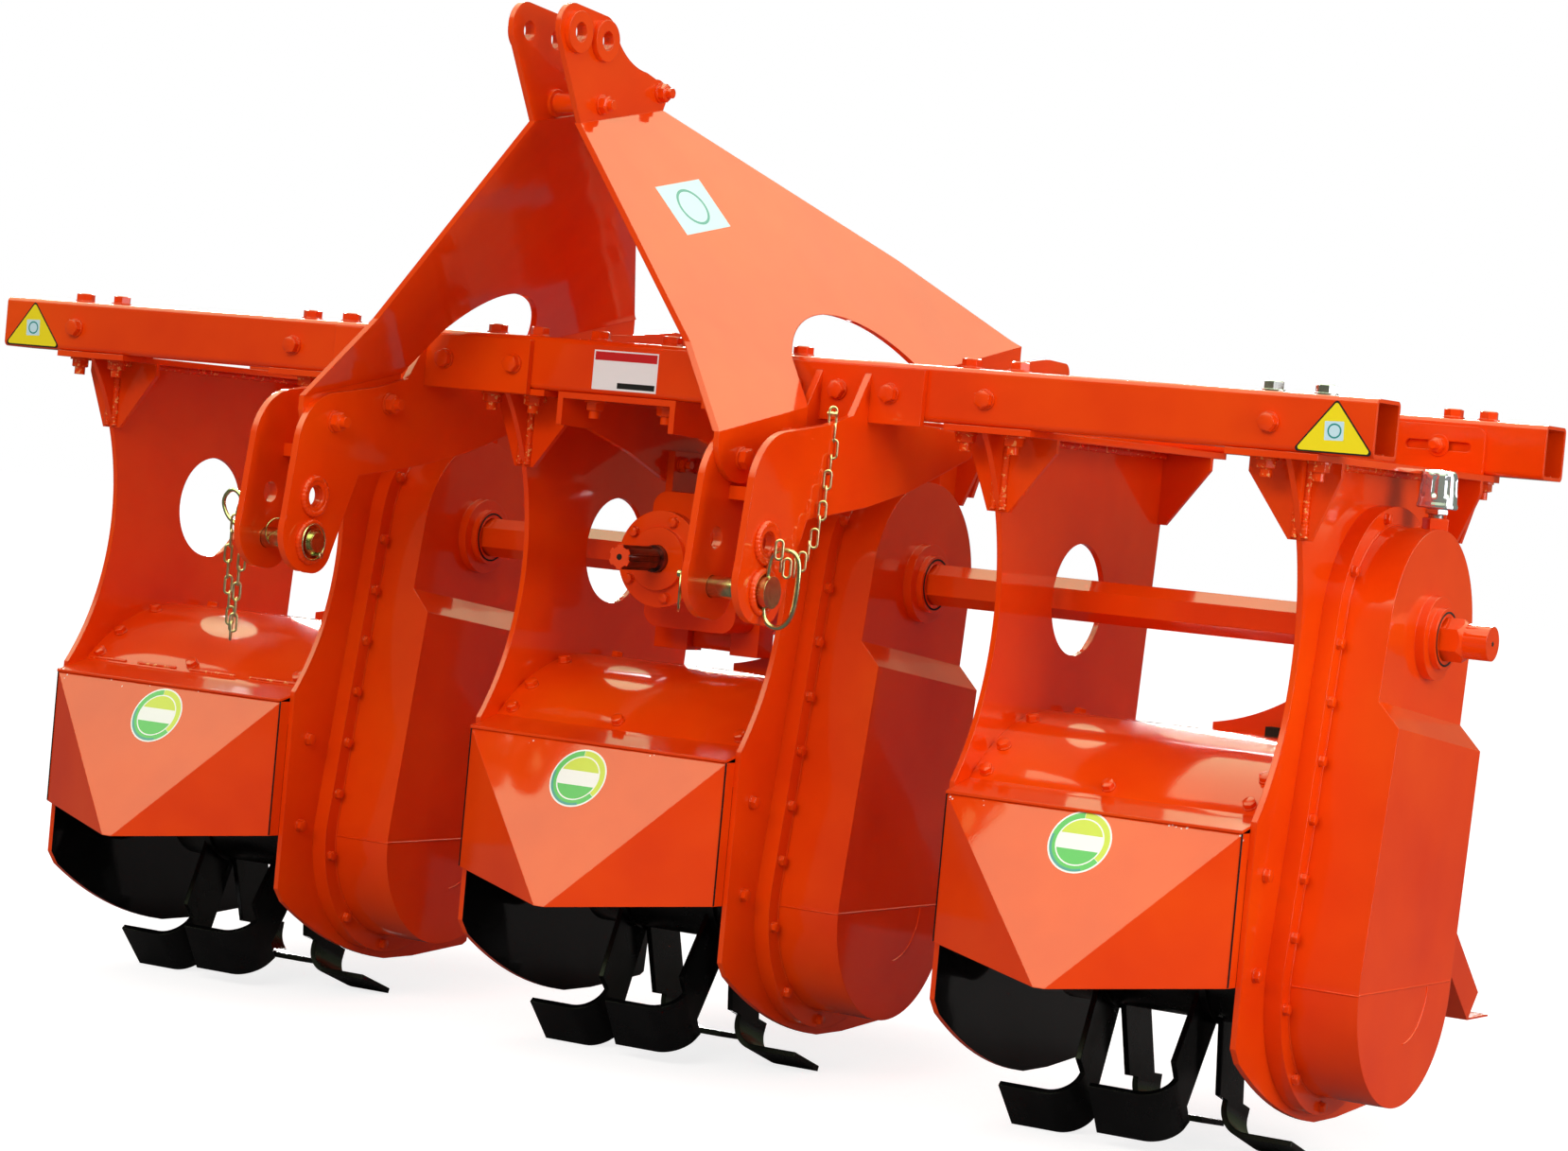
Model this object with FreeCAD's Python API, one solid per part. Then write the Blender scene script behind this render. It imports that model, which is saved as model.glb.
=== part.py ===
"""Three-row rotary weeder for a tractor's three-point linkage.

Millimetres.  +X runs along the tool bars to the machine's left-to-right,
+Y points rearwards, away from the tractor, and +Z points up.  The origin is
the tip of the drive shaft, on the hitch's centre line.
"""
import FreeCAD, Part
import math
import os
from FreeCAD import Vector

os.makedirs("parts", exist_ok=True)

# ---------------------------------------------------------------- driving sizes
TUBE_SIZE = 75.0            # square tool bar, outside
TUBE_WALL = 5.0
TUBE_CORNER = 8.0           # outside corner radius of the bar
TUBE_LENGTH = 2260.0
TUBE_TOP_Z = 298.0
FRONT_TUBE_Y = -43.0        # front face of the front bar
TUBE_SPACING = 596.0        # front face to front face
ROW_SPACING = 771.0         # one weeding unit to the next

SHAFT_Y = 288.0             # cross shaft, on the level of the drive shaft
ROTOR_Y = 235.0
ROTOR_Z = -458.0
RUNNING_GAP = 0.3           # between a turning piece and its seat
SIDE_CLEARANCE = 5.0        # between a moving piece and what it passes

PLATE_THICKNESS = 8.0
PLATE_LEFT_X = -205.0       # outer face of a unit's left side plate
PLATE_RIGHT_X = 240.0       # outer face of a unit's right side plate
PLATE_FRONT_Y = -20.0
PLATE_NECK_Y = 60.0         # how far the waist of the side plate is drawn in
PLATE_SHOULDER_Z = -247.0   # where the waist meets the straight front edge
PLATE_DROP = 197.0          # rotor axis to the plate's lowest edge
PLATE_HOLE_R = 78.0
FLANGE_THICKNESS = 9.0      # foot plate under the bars
FLANGE_INNER_WIDTH = 79.0   # from the side plate's middle, towards the rotor
FLANGE_OUTER_WIDTH = 50.0
GUSSET_THICKNESS = 8.0
GUSSET_DROP = 101.0
GUSSET_FRONT_Y = 36.0
GUSSET_REAR_SETBACK = 38.0  # ahead of the rear bar's front face
FLANGE_TAIL = 50.0          # the foot plate ends short of the rear bar's back face

HOOD_R = 305.0              # outside radius of the hood over the rotor
HOOD_THICKNESS = 4.0
HOOD_FRONT_ANGLE = 45.0     # from straight up, towards the front
HOOD_REAR_ANGLE = 41.0
HOOD_GUSSET_Y = 297.0
HOOD_GUSSET_START = 20.0    # from the middle of the unit, towards the right plate
RIB_CLEARANCE = 7.0         # between that rib and the cross shaft

COVER_Y = -40.0             # front cover's corners
COVER_TOP_Z = -262.0
COVER_BOTTOM_Z = -459.0
COVER_THICKNESS = 3.0
COVER_NOSE = 117.0          # how far the nose stands out in front
COVER_NOSE_DROP = 22.0
COVER_RETURN = 62.0
COVER_NOSE_SHIFT = 6.0      # the nose stands a little right of the middle

HANGER_CORNER_R = 14.0
SLOT_WIDTH = 13.0

CASE_UPPER_R = 143.0
CASE_LOWER_R = 157.0
CASE_RIM = 25.0
CASE_RIM_THICKNESS = 12.0   # two such flanges are bolted face to face
CASE_UPPER_DEPTH = 86.0     # from the side plate to the upper outer face
CASE_LOWER_DEPTH = 119.0
CASE_STEP_TOP = 360.0       # along the case, from the rotor axis
CASE_STEP_RUN = 32.0
BREATHER_X = 72.0           # from the side plate
BREATHER_Y = 312.0
BREATHER_RISE = 75.0        # above the case's top
BREATHER_TOP_Z = CASE_UPPER_R + BREATHER_RISE
BREATHER_BLOCK = 34.0       # square boss under the breather

HEX_ACROSS_FLATS = 50.0
SHAFT_END_X = 1183.0
SHAFT_END_R = 23.0
SHAFT_END_LENGTH = 34.0
BOSS_R = 56.0
BOSS_LENGTH = 13.0
BOSS_COLLAR_R = 41.0
BOSS_COLLAR_LENGTH = 9.0

BLADE_CORNER_R = 265.0      # rotor axis to the farthest blade corner
BLADE_FOOT_WIDTH = 76.0
BLADE_SHANK_WIDTH = 74.0
BLADE_THICKNESS = 8.0
BLADE_SIDE_REACH = 116.0    # from the middle of the rotor flange
BLADE_BEND_R = 42.0
BLADE_ROOT_R = 45.0
BLADE_FOOT_TILT = 27.0      # the foot's rearward edge stands outwards
BLADES_EACH_WAY = 3         # on one flange, bent to each side
BLADE_LEAD = 40.0           # from a left-bent blade to the next right-bent one
BLADE_OFFSET = 11.0         # the second flange's blades lag by this much
BLADE_PHASE = -21.84        # puts a corner 14.5 degrees each side of straight down
ROTOR_FLANGE_R = 85.0
ROTOR_FLANGE_THICKNESS = 10.0
ROTOR_FLANGE_XS = (-47.0, 105.0)
ROTOR_TUBE_R = 38.0
ROTOR_STUB_R = 25.0
ROTOR_END_GAP = 7.0

FLAP_LENGTH = 503.0
FLAP_THICKNESS = 3.0
FLAP_FLANGE = 48.0
FLAP_LIP = 79.0             # level strip along the board's end
HINGE_ROD_R = 6.0
HINGE_KNUCKLE_R = 10.0
HINGE_KNUCKLE_LENGTH = 50.0
HINGE_STRAP_THICKNESS = 5.0
HINGE_STRAP_LENGTH = 30.0

HITCH_PLATE_THICKNESS = 10.0
HITCH_INNER_X = 324.0       # inner face of the inner clevis plate
HITCH_OUTER_X = 400.0       # inner face of the outer clevis plate
HITCH_PIN_Y = -283.0
HITCH_PIN_Z = -16.0
HITCH_HOLE_RISE = 63.0      # free hole above the pin
HITCH_PIN_R = 14.0
HITCH_HOLE_R = 14.5
PAD_THICKNESS = 10.0
PAD_INNER_X = 146.0
PAD_OUTER_X = 490.0
PAD_BOTTOM_Z = 215.0
PAD_TOP_Z = 291.0

LEG_THICKNESS = 8.0
EAR_OUTER_X = 42.0
MAST_FRONT_HOLE = (-280.0, 696.0)
MAST_REAR_HOLE = (-215.0, 693.0)
MAST_HOLE_R = 13.0
MAST_FRONT_BOLT = (-206.0, 608.0)
MAST_REAR_BOLT = (-66.0, 642.0)
DOUBLER_R = 28.0
DOUBLER_THICKNESS = 8.0

HANGER_HALF_WIDTH = 98.0
HANGER_THICKNESS = 9.0
GEARBOX_LUG_Y = (240.0, 320.0)
GEARBOX_LUG_TOP_Z = 155.0
GEARBOX_FOOT_Y = 272.0
GEARBOX_FOOT_HALF = 20.0    # half a foot's length, clear of the hood's rib
GEARBOX_FEET_X = ((-92.0, -35.0), (39.0, 86.0))
GEARBOX_HALF_WIDTH = 92.0
GEARBOX_FRONT_Y = 195.0
GEARBOX_REAR_Y = 385.0
GEARBOX_TOP_Z = 96.0
GEARBOX_BOTTOM_Z = -100.0
GEARBOX_FOOT_DROP = 32.0
INPUT_FLANGE_R = 69.0
INPUT_FLANGE_Y = 103.0
INPUT_FLANGE_THICKNESS = 16.0
INPUT_BOSS_R = 45.0
PTO_R = 17.4
PTO_ROOT_R = 14.8
PTO_SPLINES = 6
PTO_SPLINE_LENGTH = 76.0

UNITS = (("left", -ROW_SPACING), ("middle", 0.0), ("right", ROW_SPACING))

# ---------------------------------------------------------------- derived sizes
TUBE_BOTTOM_Z = TUBE_TOP_Z - TUBE_SIZE
REAR_TUBE_Y = FRONT_TUBE_Y + TUBE_SPACING
GUSSET_REAR_Y = REAR_TUBE_Y - GUSSET_REAR_SETBACK
FLANGE_TAIL_Y = REAR_TUBE_Y + FLANGE_TAIL
PLATE_TOP_Z = TUBE_BOTTOM_Z - FLANGE_THICKNESS
INNER_LEFT_X = PLATE_LEFT_X + PLATE_THICKNESS
INNER_RIGHT_X = PLATE_RIGHT_X - PLATE_THICKNESS
HEX_CORNER_R = HEX_ACROSS_FLATS / math.sqrt(3.0)
SHAFT_BORE_R = HEX_CORNER_R + RUNNING_GAP
CASE_LEAN = math.atan2(SHAFT_Y - ROTOR_Y, -ROTOR_Z)
CASE_CENTRES = math.hypot(SHAFT_Y - ROTOR_Y, ROTOR_Z)


# ---------------------------------------------------------------- helpers
def wire_from(start, steps, place):
    """A closed wire.  A step is an end point, or a middle and an end point of an arc."""
    edges = []
    here = start
    for step in steps + [start]:
        if isinstance(step[0], tuple):
            middle, end = step
            edges.append(Part.Arc(place(here), place(middle), place(end)).toShape())
        else:
            end = step
            if math.dist(here, end) < 1e-6:
                continue
            edges.append(Part.makeLine(place(here), place(end)))
        here = end
    return Part.Wire(edges)


def plate_x(start, steps, x, thickness):
    """A plate across X, drawn in (y, z)."""
    face = Part.Face(wire_from(start, steps, lambda p: Vector(x, p[0], p[1])))
    return face.extrude(Vector(thickness, 0, 0))


def plate_y(start, steps, y, thickness):
    """A plate across Y, drawn in (x, z)."""
    face = Part.Face(wire_from(start, steps, lambda p: Vector(p[0], y, p[1])))
    return face.extrude(Vector(0, thickness, 0))


def box(x0, x1, y0, y1, z0, z1):
    return Part.makeBox(x1 - x0, y1 - y0, z1 - z0, Vector(x0, y0, z0))


def rod_x(radius, x0, x1, y, z):
    return Part.makeCylinder(radius, x1 - x0, Vector(x0, y, z), Vector(1, 0, 0))


def rod_y(radius, y0, y1, x, z):
    return Part.makeCylinder(radius, y1 - y0, Vector(x, y0, z), Vector(0, 1, 0))


def hex_x(across_flats, x0, x1, y, z):
    """A hexagon bar along X with corners straight up and down."""
    corner = across_flats / math.sqrt(3.0)
    points = [Vector(x0, y + corner * math.sin(math.radians(60 * i)),
                     z + corner * math.cos(math.radians(60 * i))) for i in range(7)]
    return Part.Face(Part.makePolygon(points)).extrude(Vector(x1 - x0, 0, 0))


def join(shapes):
    whole = shapes[0]
    if len(shapes) > 1:
        whole = whole.fuse(shapes[1:])
    return whole.removeSplitter()


def save(name, shape):
    shape.exportStep("parts/%s.step" % name)


def circle_point(centre, radius, degrees):
    """A point in (y, z), turned from straight up towards +Y."""
    angle = math.radians(degrees)
    return (centre[0] + radius * math.sin(angle), centre[1] + radius * math.cos(angle))


# ---------------------------------------------------------------- tool bars
def tool_bar(front_y):
    def square(size, corner):
        half = size / 2.0
        bar = Part.makeBox(TUBE_LENGTH, size, size,
                           Vector(-TUBE_LENGTH / 2.0, -half, -half))
        long_edges = [e for e in bar.Edges if abs(e.Length - TUBE_LENGTH) < 1e-6]
        return bar.makeFillet(corner, long_edges)
    bar = square(TUBE_SIZE, TUBE_CORNER).cut(square(TUBE_SIZE - 2 * TUBE_WALL,
                                                    TUBE_CORNER - TUBE_WALL))
    bar.translate(Vector(0, front_y + TUBE_SIZE / 2.0, TUBE_TOP_Z - TUBE_SIZE / 2.0))
    return bar


# ---------------------------------------------------------------- hitch
def hitch_plate(x):
    under = TUBE_BOTTOM_Z
    front = FRONT_TUBE_Y - PAD_THICKNESS
    start = (front, TUBE_TOP_Z - 17)
    steps = [(front - 38, under - 1), (front - 102, under - 17), (front - 200, under - 31),
             ((-304, 168), (-326, 129)), (-341, 14),
             ((-328, -42), (-286, -58)), ((-256, -56), (-234, -30)), (-186, 80),
             (-36, 102), (80, 128), (232, 178), (245, 183), (245, under - 10), (60, under),
             (FRONT_TUBE_Y, under), (FRONT_TUBE_Y, PAD_BOTTOM_Z), (front, PAD_BOTTOM_Z)]
    plate = plate_x(start, steps, x, HITCH_PLATE_THICKNESS)
    for rise in (0.0, HITCH_HOLE_RISE):
        plate = plate.cut(rod_x(HITCH_HOLE_R, x - 1, x + HITCH_PLATE_THICKNESS + 1,
                                HITCH_PIN_Y, HITCH_PIN_Z + rise))
    return plate


def front_pad(x0, x1):
    return box(x0, x1, FRONT_TUBE_Y - PAD_THICKNESS, FRONT_TUBE_Y, PAD_BOTTOM_Z, PAD_TOP_Z)


def clevis_block(side):
    inner = HITCH_INNER_X + HITCH_PLATE_THICKNESS
    block = box(inner, HITCH_OUTER_X, -262, -200, 98, 116)
    return block if side > 0 else mirrored(block)


def mirrored(shape):
    return shape.mirror(Vector(0, 0, 0), Vector(1, 0, 0))


def hitch_pin(side):
    inner = HITCH_INNER_X
    outer = HITCH_OUTER_X + HITCH_PLATE_THICKNESS
    head_r = HITCH_PIN_R + 7
    if side > 0:
        shank = rod_x(HITCH_PIN_R, inner - 22, outer + 16, HITCH_PIN_Y, HITCH_PIN_Z)
        head = rod_x(head_r, outer + 1, outer + 16, HITCH_PIN_Y, HITCH_PIN_Z)
        collar = rod_x(head_r - 2, inner - 8, inner - 2, HITCH_PIN_Y, HITCH_PIN_Z)
    else:
        shank = rod_x(HITCH_PIN_R, inner - 14, outer + 22, HITCH_PIN_Y, HITCH_PIN_Z)
        head = rod_x(head_r, outer + 1, outer + 9, HITCH_PIN_Y, HITCH_PIN_Z)
        collar = rod_x(head_r - 2, inner - 8, inner - 2, HITCH_PIN_Y, HITCH_PIN_Z)
    pin = join([shank, head, collar])
    return pin if side > 0 else mirrored(pin)


# ---------------------------------------------------------------- A-frame
LEG_FOOT_X = HITCH_INNER_X + HITCH_PLATE_THICKNESS + LEG_THICKNESS   # outer face
LEG_BEND_START = (-251.0, 578.0)      # (y, z) of the mast's bend at its front
LEG_RISE = 0.21                       # how the bends climb towards the rear
LEG_SLOPE = 1.272                     # how steeply the panel falls sideways
LEG_TIP_Y = REAR_TUBE_Y - 63          # the panel's rearmost point


def leg_z(x, y):
    return (LEG_BEND_START[1] - LEG_SLOPE * (x - EAR_OUTER_X)
            + LEG_RISE * (y - LEG_BEND_START[0]))


def leg_panel():
    def place(p):
        return Vector(p[0], p[1], leg_z(p[0], p[1]))
    foot = LEG_FOOT_X
    start = (EAR_OUTER_X, LEG_BEND_START[0])
    steps = [(EAR_OUTER_X, -55.0), (229.0, 300.0), (foot - 12, LEG_TIP_Y - 24),
             ((foot - 3, LEG_TIP_Y - 7), (foot, LEG_TIP_Y)),
             (foot, 210.0), ((287.0, 138.0), (264.0, 51.0)),
             ((271.0, -25.0), (296.0, -72.0)), (foot, -96.0), (foot, -312.0),
             (259.0, -271.0)]
    wire = wire_from(start, steps, place)
    across = LEG_THICKNESS * math.sqrt(1 + LEG_SLOPE ** 2 + LEG_RISE ** 2) / LEG_SLOPE
    return Part.Face(wire).extrude(Vector(-across, 0, 0))


def leg_ear():
    z_front = leg_z(EAR_OUTER_X, -251.0)
    z_rear = leg_z(EAR_OUTER_X, -55.0)
    start = (-251.0, z_front)
    steps = [(-315, 684), ((-311, 722), (-280, 733)), (-213, 727),
             ((-197, 722), (-185, 706)), ((-155, 680), (-103, 665)), (-79, 659),
             ((-58, 655), (-46, 640)), (-55.0, z_rear)]
    ear = plate_x(start, steps, EAR_OUTER_X - LEG_THICKNESS, LEG_THICKNESS)
    for hole in (MAST_FRONT_HOLE, MAST_REAR_HOLE):
        ear = ear.cut(rod_x(MAST_HOLE_R, EAR_OUTER_X - LEG_THICKNESS - 1, EAR_OUTER_X + 1, *hole))
    return ear


def leg_feet():
    x = LEG_FOOT_X - LEG_THICKNESS
    z0 = leg_z(LEG_FOOT_X, -312.0)
    z1 = leg_z(LEG_FOOT_X, -96.0)
    front = plate_x((-312.0, z0), [(-96.0, z1), (-96.0, z1 - 62), ((-160, z1 - 84), (-230, z0 - 60)),
                                   ((-290, z0 - 52), (-312.0, z0 - 20))], x, LEG_THICKNESS)
    rear_z = leg_z(LEG_FOOT_X, LEG_TIP_Y)
    y_low = 245.0
    low = TUBE_TOP_Z + RUNNING_GAP
    rear = plate_x((y_low, leg_z(LEG_FOOT_X, y_low)),
                   [(LEG_TIP_Y, rear_z), (LEG_TIP_Y, low), (y_low, low - 8)], x, LEG_THICKNESS)
    return [front, rear]


def a_frame_leg(side):
    leg = join([leg_panel(), leg_ear()] + leg_feet())
    return leg if side > 0 else mirrored(leg)


def ear_doubler(side):
    rings = []
    for hole in (MAST_FRONT_HOLE, MAST_REAR_HOLE):
        disc = rod_x(DOUBLER_R, EAR_OUTER_X, EAR_OUTER_X + DOUBLER_THICKNESS, *hole)
        rings.append(disc.cut(rod_x(MAST_HOLE_R, EAR_OUTER_X - 1,
                                    EAR_OUTER_X + DOUBLER_THICKNESS + 1, *hole)))
    doubler = Part.makeCompound(rings)
    return doubler if side > 0 else mirrored(doubler)


def mast_spacers():
    inner = EAR_OUTER_X - LEG_THICKNESS
    front = rod_x(13, -inner, inner, *MAST_FRONT_BOLT)
    washer = rod_x(19, -inner, -inner + 5, *MAST_FRONT_BOLT)
    rear = rod_x(13, -inner, inner, *MAST_REAR_BOLT)
    return Part.makeCompound([join([front, washer]), rear])


def rear_bracket(side):
    x = LEG_FOOT_X - 2 * LEG_THICKNESS
    y_front = REAR_TUBE_Y - 153
    y_back = REAR_TUBE_Y + TUBE_SIZE + 36
    plate = plate_x((y_front, TUBE_TOP_Z), [(y_back, TUBE_TOP_Z), (y_back, TUBE_TOP_Z + 24),
                                          ((y_back - 4, TUBE_TOP_Z + 35), (y_back - 16, TUBE_TOP_Z + 40)),
                                          (y_back - 70, TUBE_TOP_Z + 42), (y_front + 70, TUBE_TOP_Z + 28),
                                          (y_front, TUBE_TOP_Z + 24)],
                    x, LEG_THICKNESS)
    return plate if side > 0 else mirrored(plate)


# ---------------------------------------------------------------- weeding unit
def side_plate(x, inward, shaft_hole_r, rotor_hole_r):
    """The profiled side plate with its foot plate under the bars and its gussets."""
    middle_z = (PLATE_TOP_Z + PLATE_SHOULDER_Z) / 2.0
    rear_top_y = REAR_TUBE_Y + 42
    start = (PLATE_FRONT_Y, PLATE_TOP_Z)
    low = ROTOR_Z - PLATE_DROP
    steps = [(rear_top_y, PLATE_TOP_Z), (REAR_TUBE_Y - 28, 112.0), (ROTOR_Y + 235, low + 15),
             (ROTOR_Y + 225, low + 10), (ROTOR_Y + 92, low), (ROTOR_Y + 20, low),
             ((96.0, low + 44), (-4.0, low + 98)), (PLATE_FRONT_Y, low + 118),
             (PLATE_FRONT_Y, PLATE_SHOULDER_Z),
             ((PLATE_NECK_Y, middle_z), (PLATE_FRONT_Y, PLATE_TOP_Z))]
    plate = plate_x(start, steps, x, PLATE_THICKNESS)
    if shaft_hole_r > 0:
        plate = plate.cut(rod_x(shaft_hole_r, x - 1, x + PLATE_THICKNESS + 1, SHAFT_Y, 0))
    plate = plate.cut(rod_x(rotor_hole_r, x - 1, x + PLATE_THICKNESS + 1, ROTOR_Y, ROTOR_Z))
    centre = x + PLATE_THICKNESS / 2.0
    widths = (FLANGE_OUTER_WIDTH, FLANGE_INNER_WIDTH)
    low, high = widths if inward > 0 else widths[::-1]
    narrow = FLANGE_OUTER_WIDTH - 8
    wide = box(centre - low, centre + high, FRONT_TUBE_Y, REAR_TUBE_Y + 12,
               PLATE_TOP_Z, TUBE_BOTTOM_Z)
    tail = box(centre - narrow, centre + narrow, REAR_TUBE_Y, FLANGE_TAIL_Y,
               PLATE_TOP_Z, TUBE_BOTTOM_Z)
    pieces = [plate, wide, tail]
    foot = PLATE_TOP_Z - GUSSET_DROP
    for y in (GUSSET_FRONT_Y, GUSSET_REAR_Y):
        pieces.append(plate_y((centre - low, PLATE_TOP_Z),
                              [(centre + high, PLATE_TOP_Z), (centre + high, PLATE_TOP_Z - 18),
                               (centre + 16, foot), (centre - 16, foot),
                               (centre - low, PLATE_TOP_Z - 18)], y, GUSSET_THICKNESS))
    return join(pieces)


def hood_axes():
    """The hood's rear edge on its outer face, with its outward and downhill directions."""
    edge = circle_point((ROTOR_Y, ROTOR_Z), HOOD_R, HOOD_REAR_ANGLE)
    angle = math.radians(HOOD_REAR_ANGLE)
    outward = (math.sin(angle), math.cos(angle))
    downhill = (math.cos(angle), -math.sin(angle))
    return edge, outward, downhill


def from_edge(out, down):
    edge, outward, downhill = hood_axes()
    return (edge[0] + out * outward[0] + down * downhill[0],
            edge[1] + out * outward[1] + down * downhill[1])


HINGE_AXIS = from_edge(HINGE_KNUCKLE_R + 0.5, 0.5)


def knuckle_spans(offset, width_from, width_to):
    pitch = 2 * HINGE_KNUCKLE_LENGTH
    spans = []
    x = width_from + offset
    while x + HINGE_KNUCKLE_LENGTH <= width_to:
        spans.append((x, x + HINGE_KNUCKLE_LENGTH - 1.0))
        x += pitch
    return spans


def strap(down0, down1, x0, x1):
    """Flat of one hinge knuckle along the hood's or the board's outer face."""
    return plate_x(from_edge(0, down0), [from_edge(0, down1), from_edge(HINGE_STRAP_THICKNESS, down1),
                                         from_edge(HINGE_STRAP_THICKNESS, down0)], x0, x1 - x0)


def hood(unit_x):
    x0 = unit_x + INNER_LEFT_X
    x1 = unit_x + INNER_RIGHT_X
    centre = (ROTOR_Y, ROTOR_Z)
    inner_r = HOOD_R - HOOD_THICKNESS
    front = circle_point(centre, HOOD_R, -HOOD_FRONT_ANGLE)
    front_in = circle_point(centre, inner_r, -HOOD_FRONT_ANGLE)
    rear = circle_point(centre, HOOD_R, HOOD_REAR_ANGLE)
    rear_in = circle_point(centre, inner_r, HOOD_REAR_ANGLE)
    lip = (COVER_Y - COVER_THICKNESS, COVER_TOP_Z + HOOD_THICKNESS)
    lip_in = (COVER_Y - COVER_THICKNESS, COVER_TOP_Z)
    start = lip
    steps = [front, (circle_point(centre, HOOD_R, 0), rear), rear_in,
             (circle_point(centre, inner_r, 0), front_in), lip_in]
    sheet = plate_x(start, steps, x0, x1 - x0)
    pieces = [sheet]
    y, z = HINGE_AXIS
    for a, b in knuckle_spans(12.0, x0, x1):
        pieces.append(rod_x(HINGE_KNUCKLE_R, a, b, y, z))
        pieces.append(strap(-HINGE_STRAP_LENGTH, 0.0, a, b))
    pieces.append(rod_x(HINGE_ROD_R, x0 + 8, x1 - 8, y, z))
    return join(pieces)


def front_cover(unit_x):
    x0 = unit_x + INNER_LEFT_X
    x1 = unit_x + INNER_RIGHT_X
    nose_x = unit_x + (INNER_LEFT_X + INNER_RIGHT_X) / 2.0 + COVER_NOSE_SHIFT
    a = Vector(x0, COVER_Y, COVER_TOP_Z)
    b = Vector(x1, COVER_Y, COVER_TOP_Z)
    c = Vector(x0, COVER_Y, COVER_BOTTOM_Z)
    d = Vector(x1, COVER_Y, COVER_BOTTOM_Z)
    nose_l = Vector(nose_x - 8, COVER_Y - COVER_NOSE, COVER_BOTTOM_Z - COVER_NOSE_DROP)
    nose_r = Vector(nose_x + 8, COVER_Y - COVER_NOSE, COVER_BOTTOM_Z - COVER_NOSE_DROP)
    back = Vector(0, COVER_THICKNESS, 0)
    facets = []
    for corners in ((a, nose_l, nose_r), (a, nose_r, b), (a, c, nose_l), (b, nose_r, d)):
        face = Part.Face(Part.makePolygon(list(corners) + [corners[0]]))
        facets.append(face.extrude(back))
    for x in (x0, x1 - COVER_THICKNESS):
        facets.append(box(x, x + COVER_THICKNESS, COVER_Y, COVER_Y + COVER_RETURN,
                          COVER_BOTTOM_Z, COVER_TOP_Z))
    return join(facets)


def case_outline(upper_r, lower_r, x, depth):
    """A leaning rounded prism about the two shafts."""
    top = Vector(x, SHAFT_Y, 0)
    low = Vector(x, ROTOR_Y, ROTOR_Z)
    along = (low - top).normalize()
    spread = math.asin((lower_r - upper_r) / CASE_CENTRES)
    edges = []
    sides = []
    for side in (-1, 1):
        across = Vector(0, -along.z * side, along.y * side)
        normal = across * math.cos(spread) - along * math.sin(spread)
        sides.append((top + normal * upper_r, low + normal * lower_r))
    (a_top, a_low), (b_top, b_low) = sides
    edges.append(Part.makeLine(a_top, a_low))
    edges.append(Part.Arc(a_low, low + along * lower_r, b_low).toShape())
    edges.append(Part.makeLine(b_low, b_top))
    edges.append(Part.Arc(b_top, top - along * upper_r, a_top).toShape())
    return Part.Face(Part.Wire(edges)).extrude(Vector(depth, 0, 0))


def chain_case(unit_x, through):
    x = unit_x + PLATE_RIGHT_X
    rim = case_outline(CASE_UPPER_R + CASE_RIM, CASE_LOWER_R + CASE_RIM, x,
                       2 * CASE_RIM_THICKNESS)
    body = case_outline(CASE_UPPER_R, CASE_LOWER_R, x, CASE_UPPER_DEPTH)
    deep = case_outline(CASE_UPPER_R, CASE_LOWER_R, x, CASE_LOWER_DEPTH)
    # the deeper lower part ends in a face that slopes back to the upper one
    up = (math.sin(CASE_LEAN), math.cos(CASE_LEAN))
    across = (up[1], -up[0])

    def at(rise, side):
        return (ROTOR_Y + rise * up[0] + side * across[0], ROTOR_Z + rise * up[1] + side * across[1])
    wide = 2 * CASE_LOWER_R
    upper_x = x + CASE_UPPER_DEPTH
    lower_x = x + CASE_LOWER_DEPTH
    rise_up = CASE_STEP_TOP
    rise_low = CASE_STEP_TOP - CASE_STEP_RUN
    corners = []
    for px, rise in ((upper_x, rise_up), (lower_x, rise_low), (lower_x + 5, rise_low),
                     (lower_x + 5, 2 * CASE_CENTRES), (upper_x, 2 * CASE_CENTRES)):
        y, z = at(rise, -wide)
        corners.append(Vector(px, y, z))
    wedge = Part.Face(Part.makePolygon(corners + [corners[0]])).extrude(
        Vector(0, 2 * wide * across[0], 2 * wide * across[1]))
    boss = rod_x(BOSS_R, upper_x, upper_x + BOSS_LENGTH, SHAFT_Y, 0)
    collar = rod_x(BOSS_COLLAR_R, upper_x, upper_x + BOSS_LENGTH + BOSS_COLLAR_LENGTH, SHAFT_Y, 0)
    case = join([rim, body, deep.cut(wedge), boss, collar])
    bore_from = x - 1 if through else x + 20
    case = case.cut(rod_x(SHAFT_BORE_R, bore_from, lower_x, SHAFT_Y, 0))
    return case.cut(rod_x(ROTOR_STUB_R + RUNNING_GAP, x - 1, x + 60, ROTOR_Y, ROTOR_Z))


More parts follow.
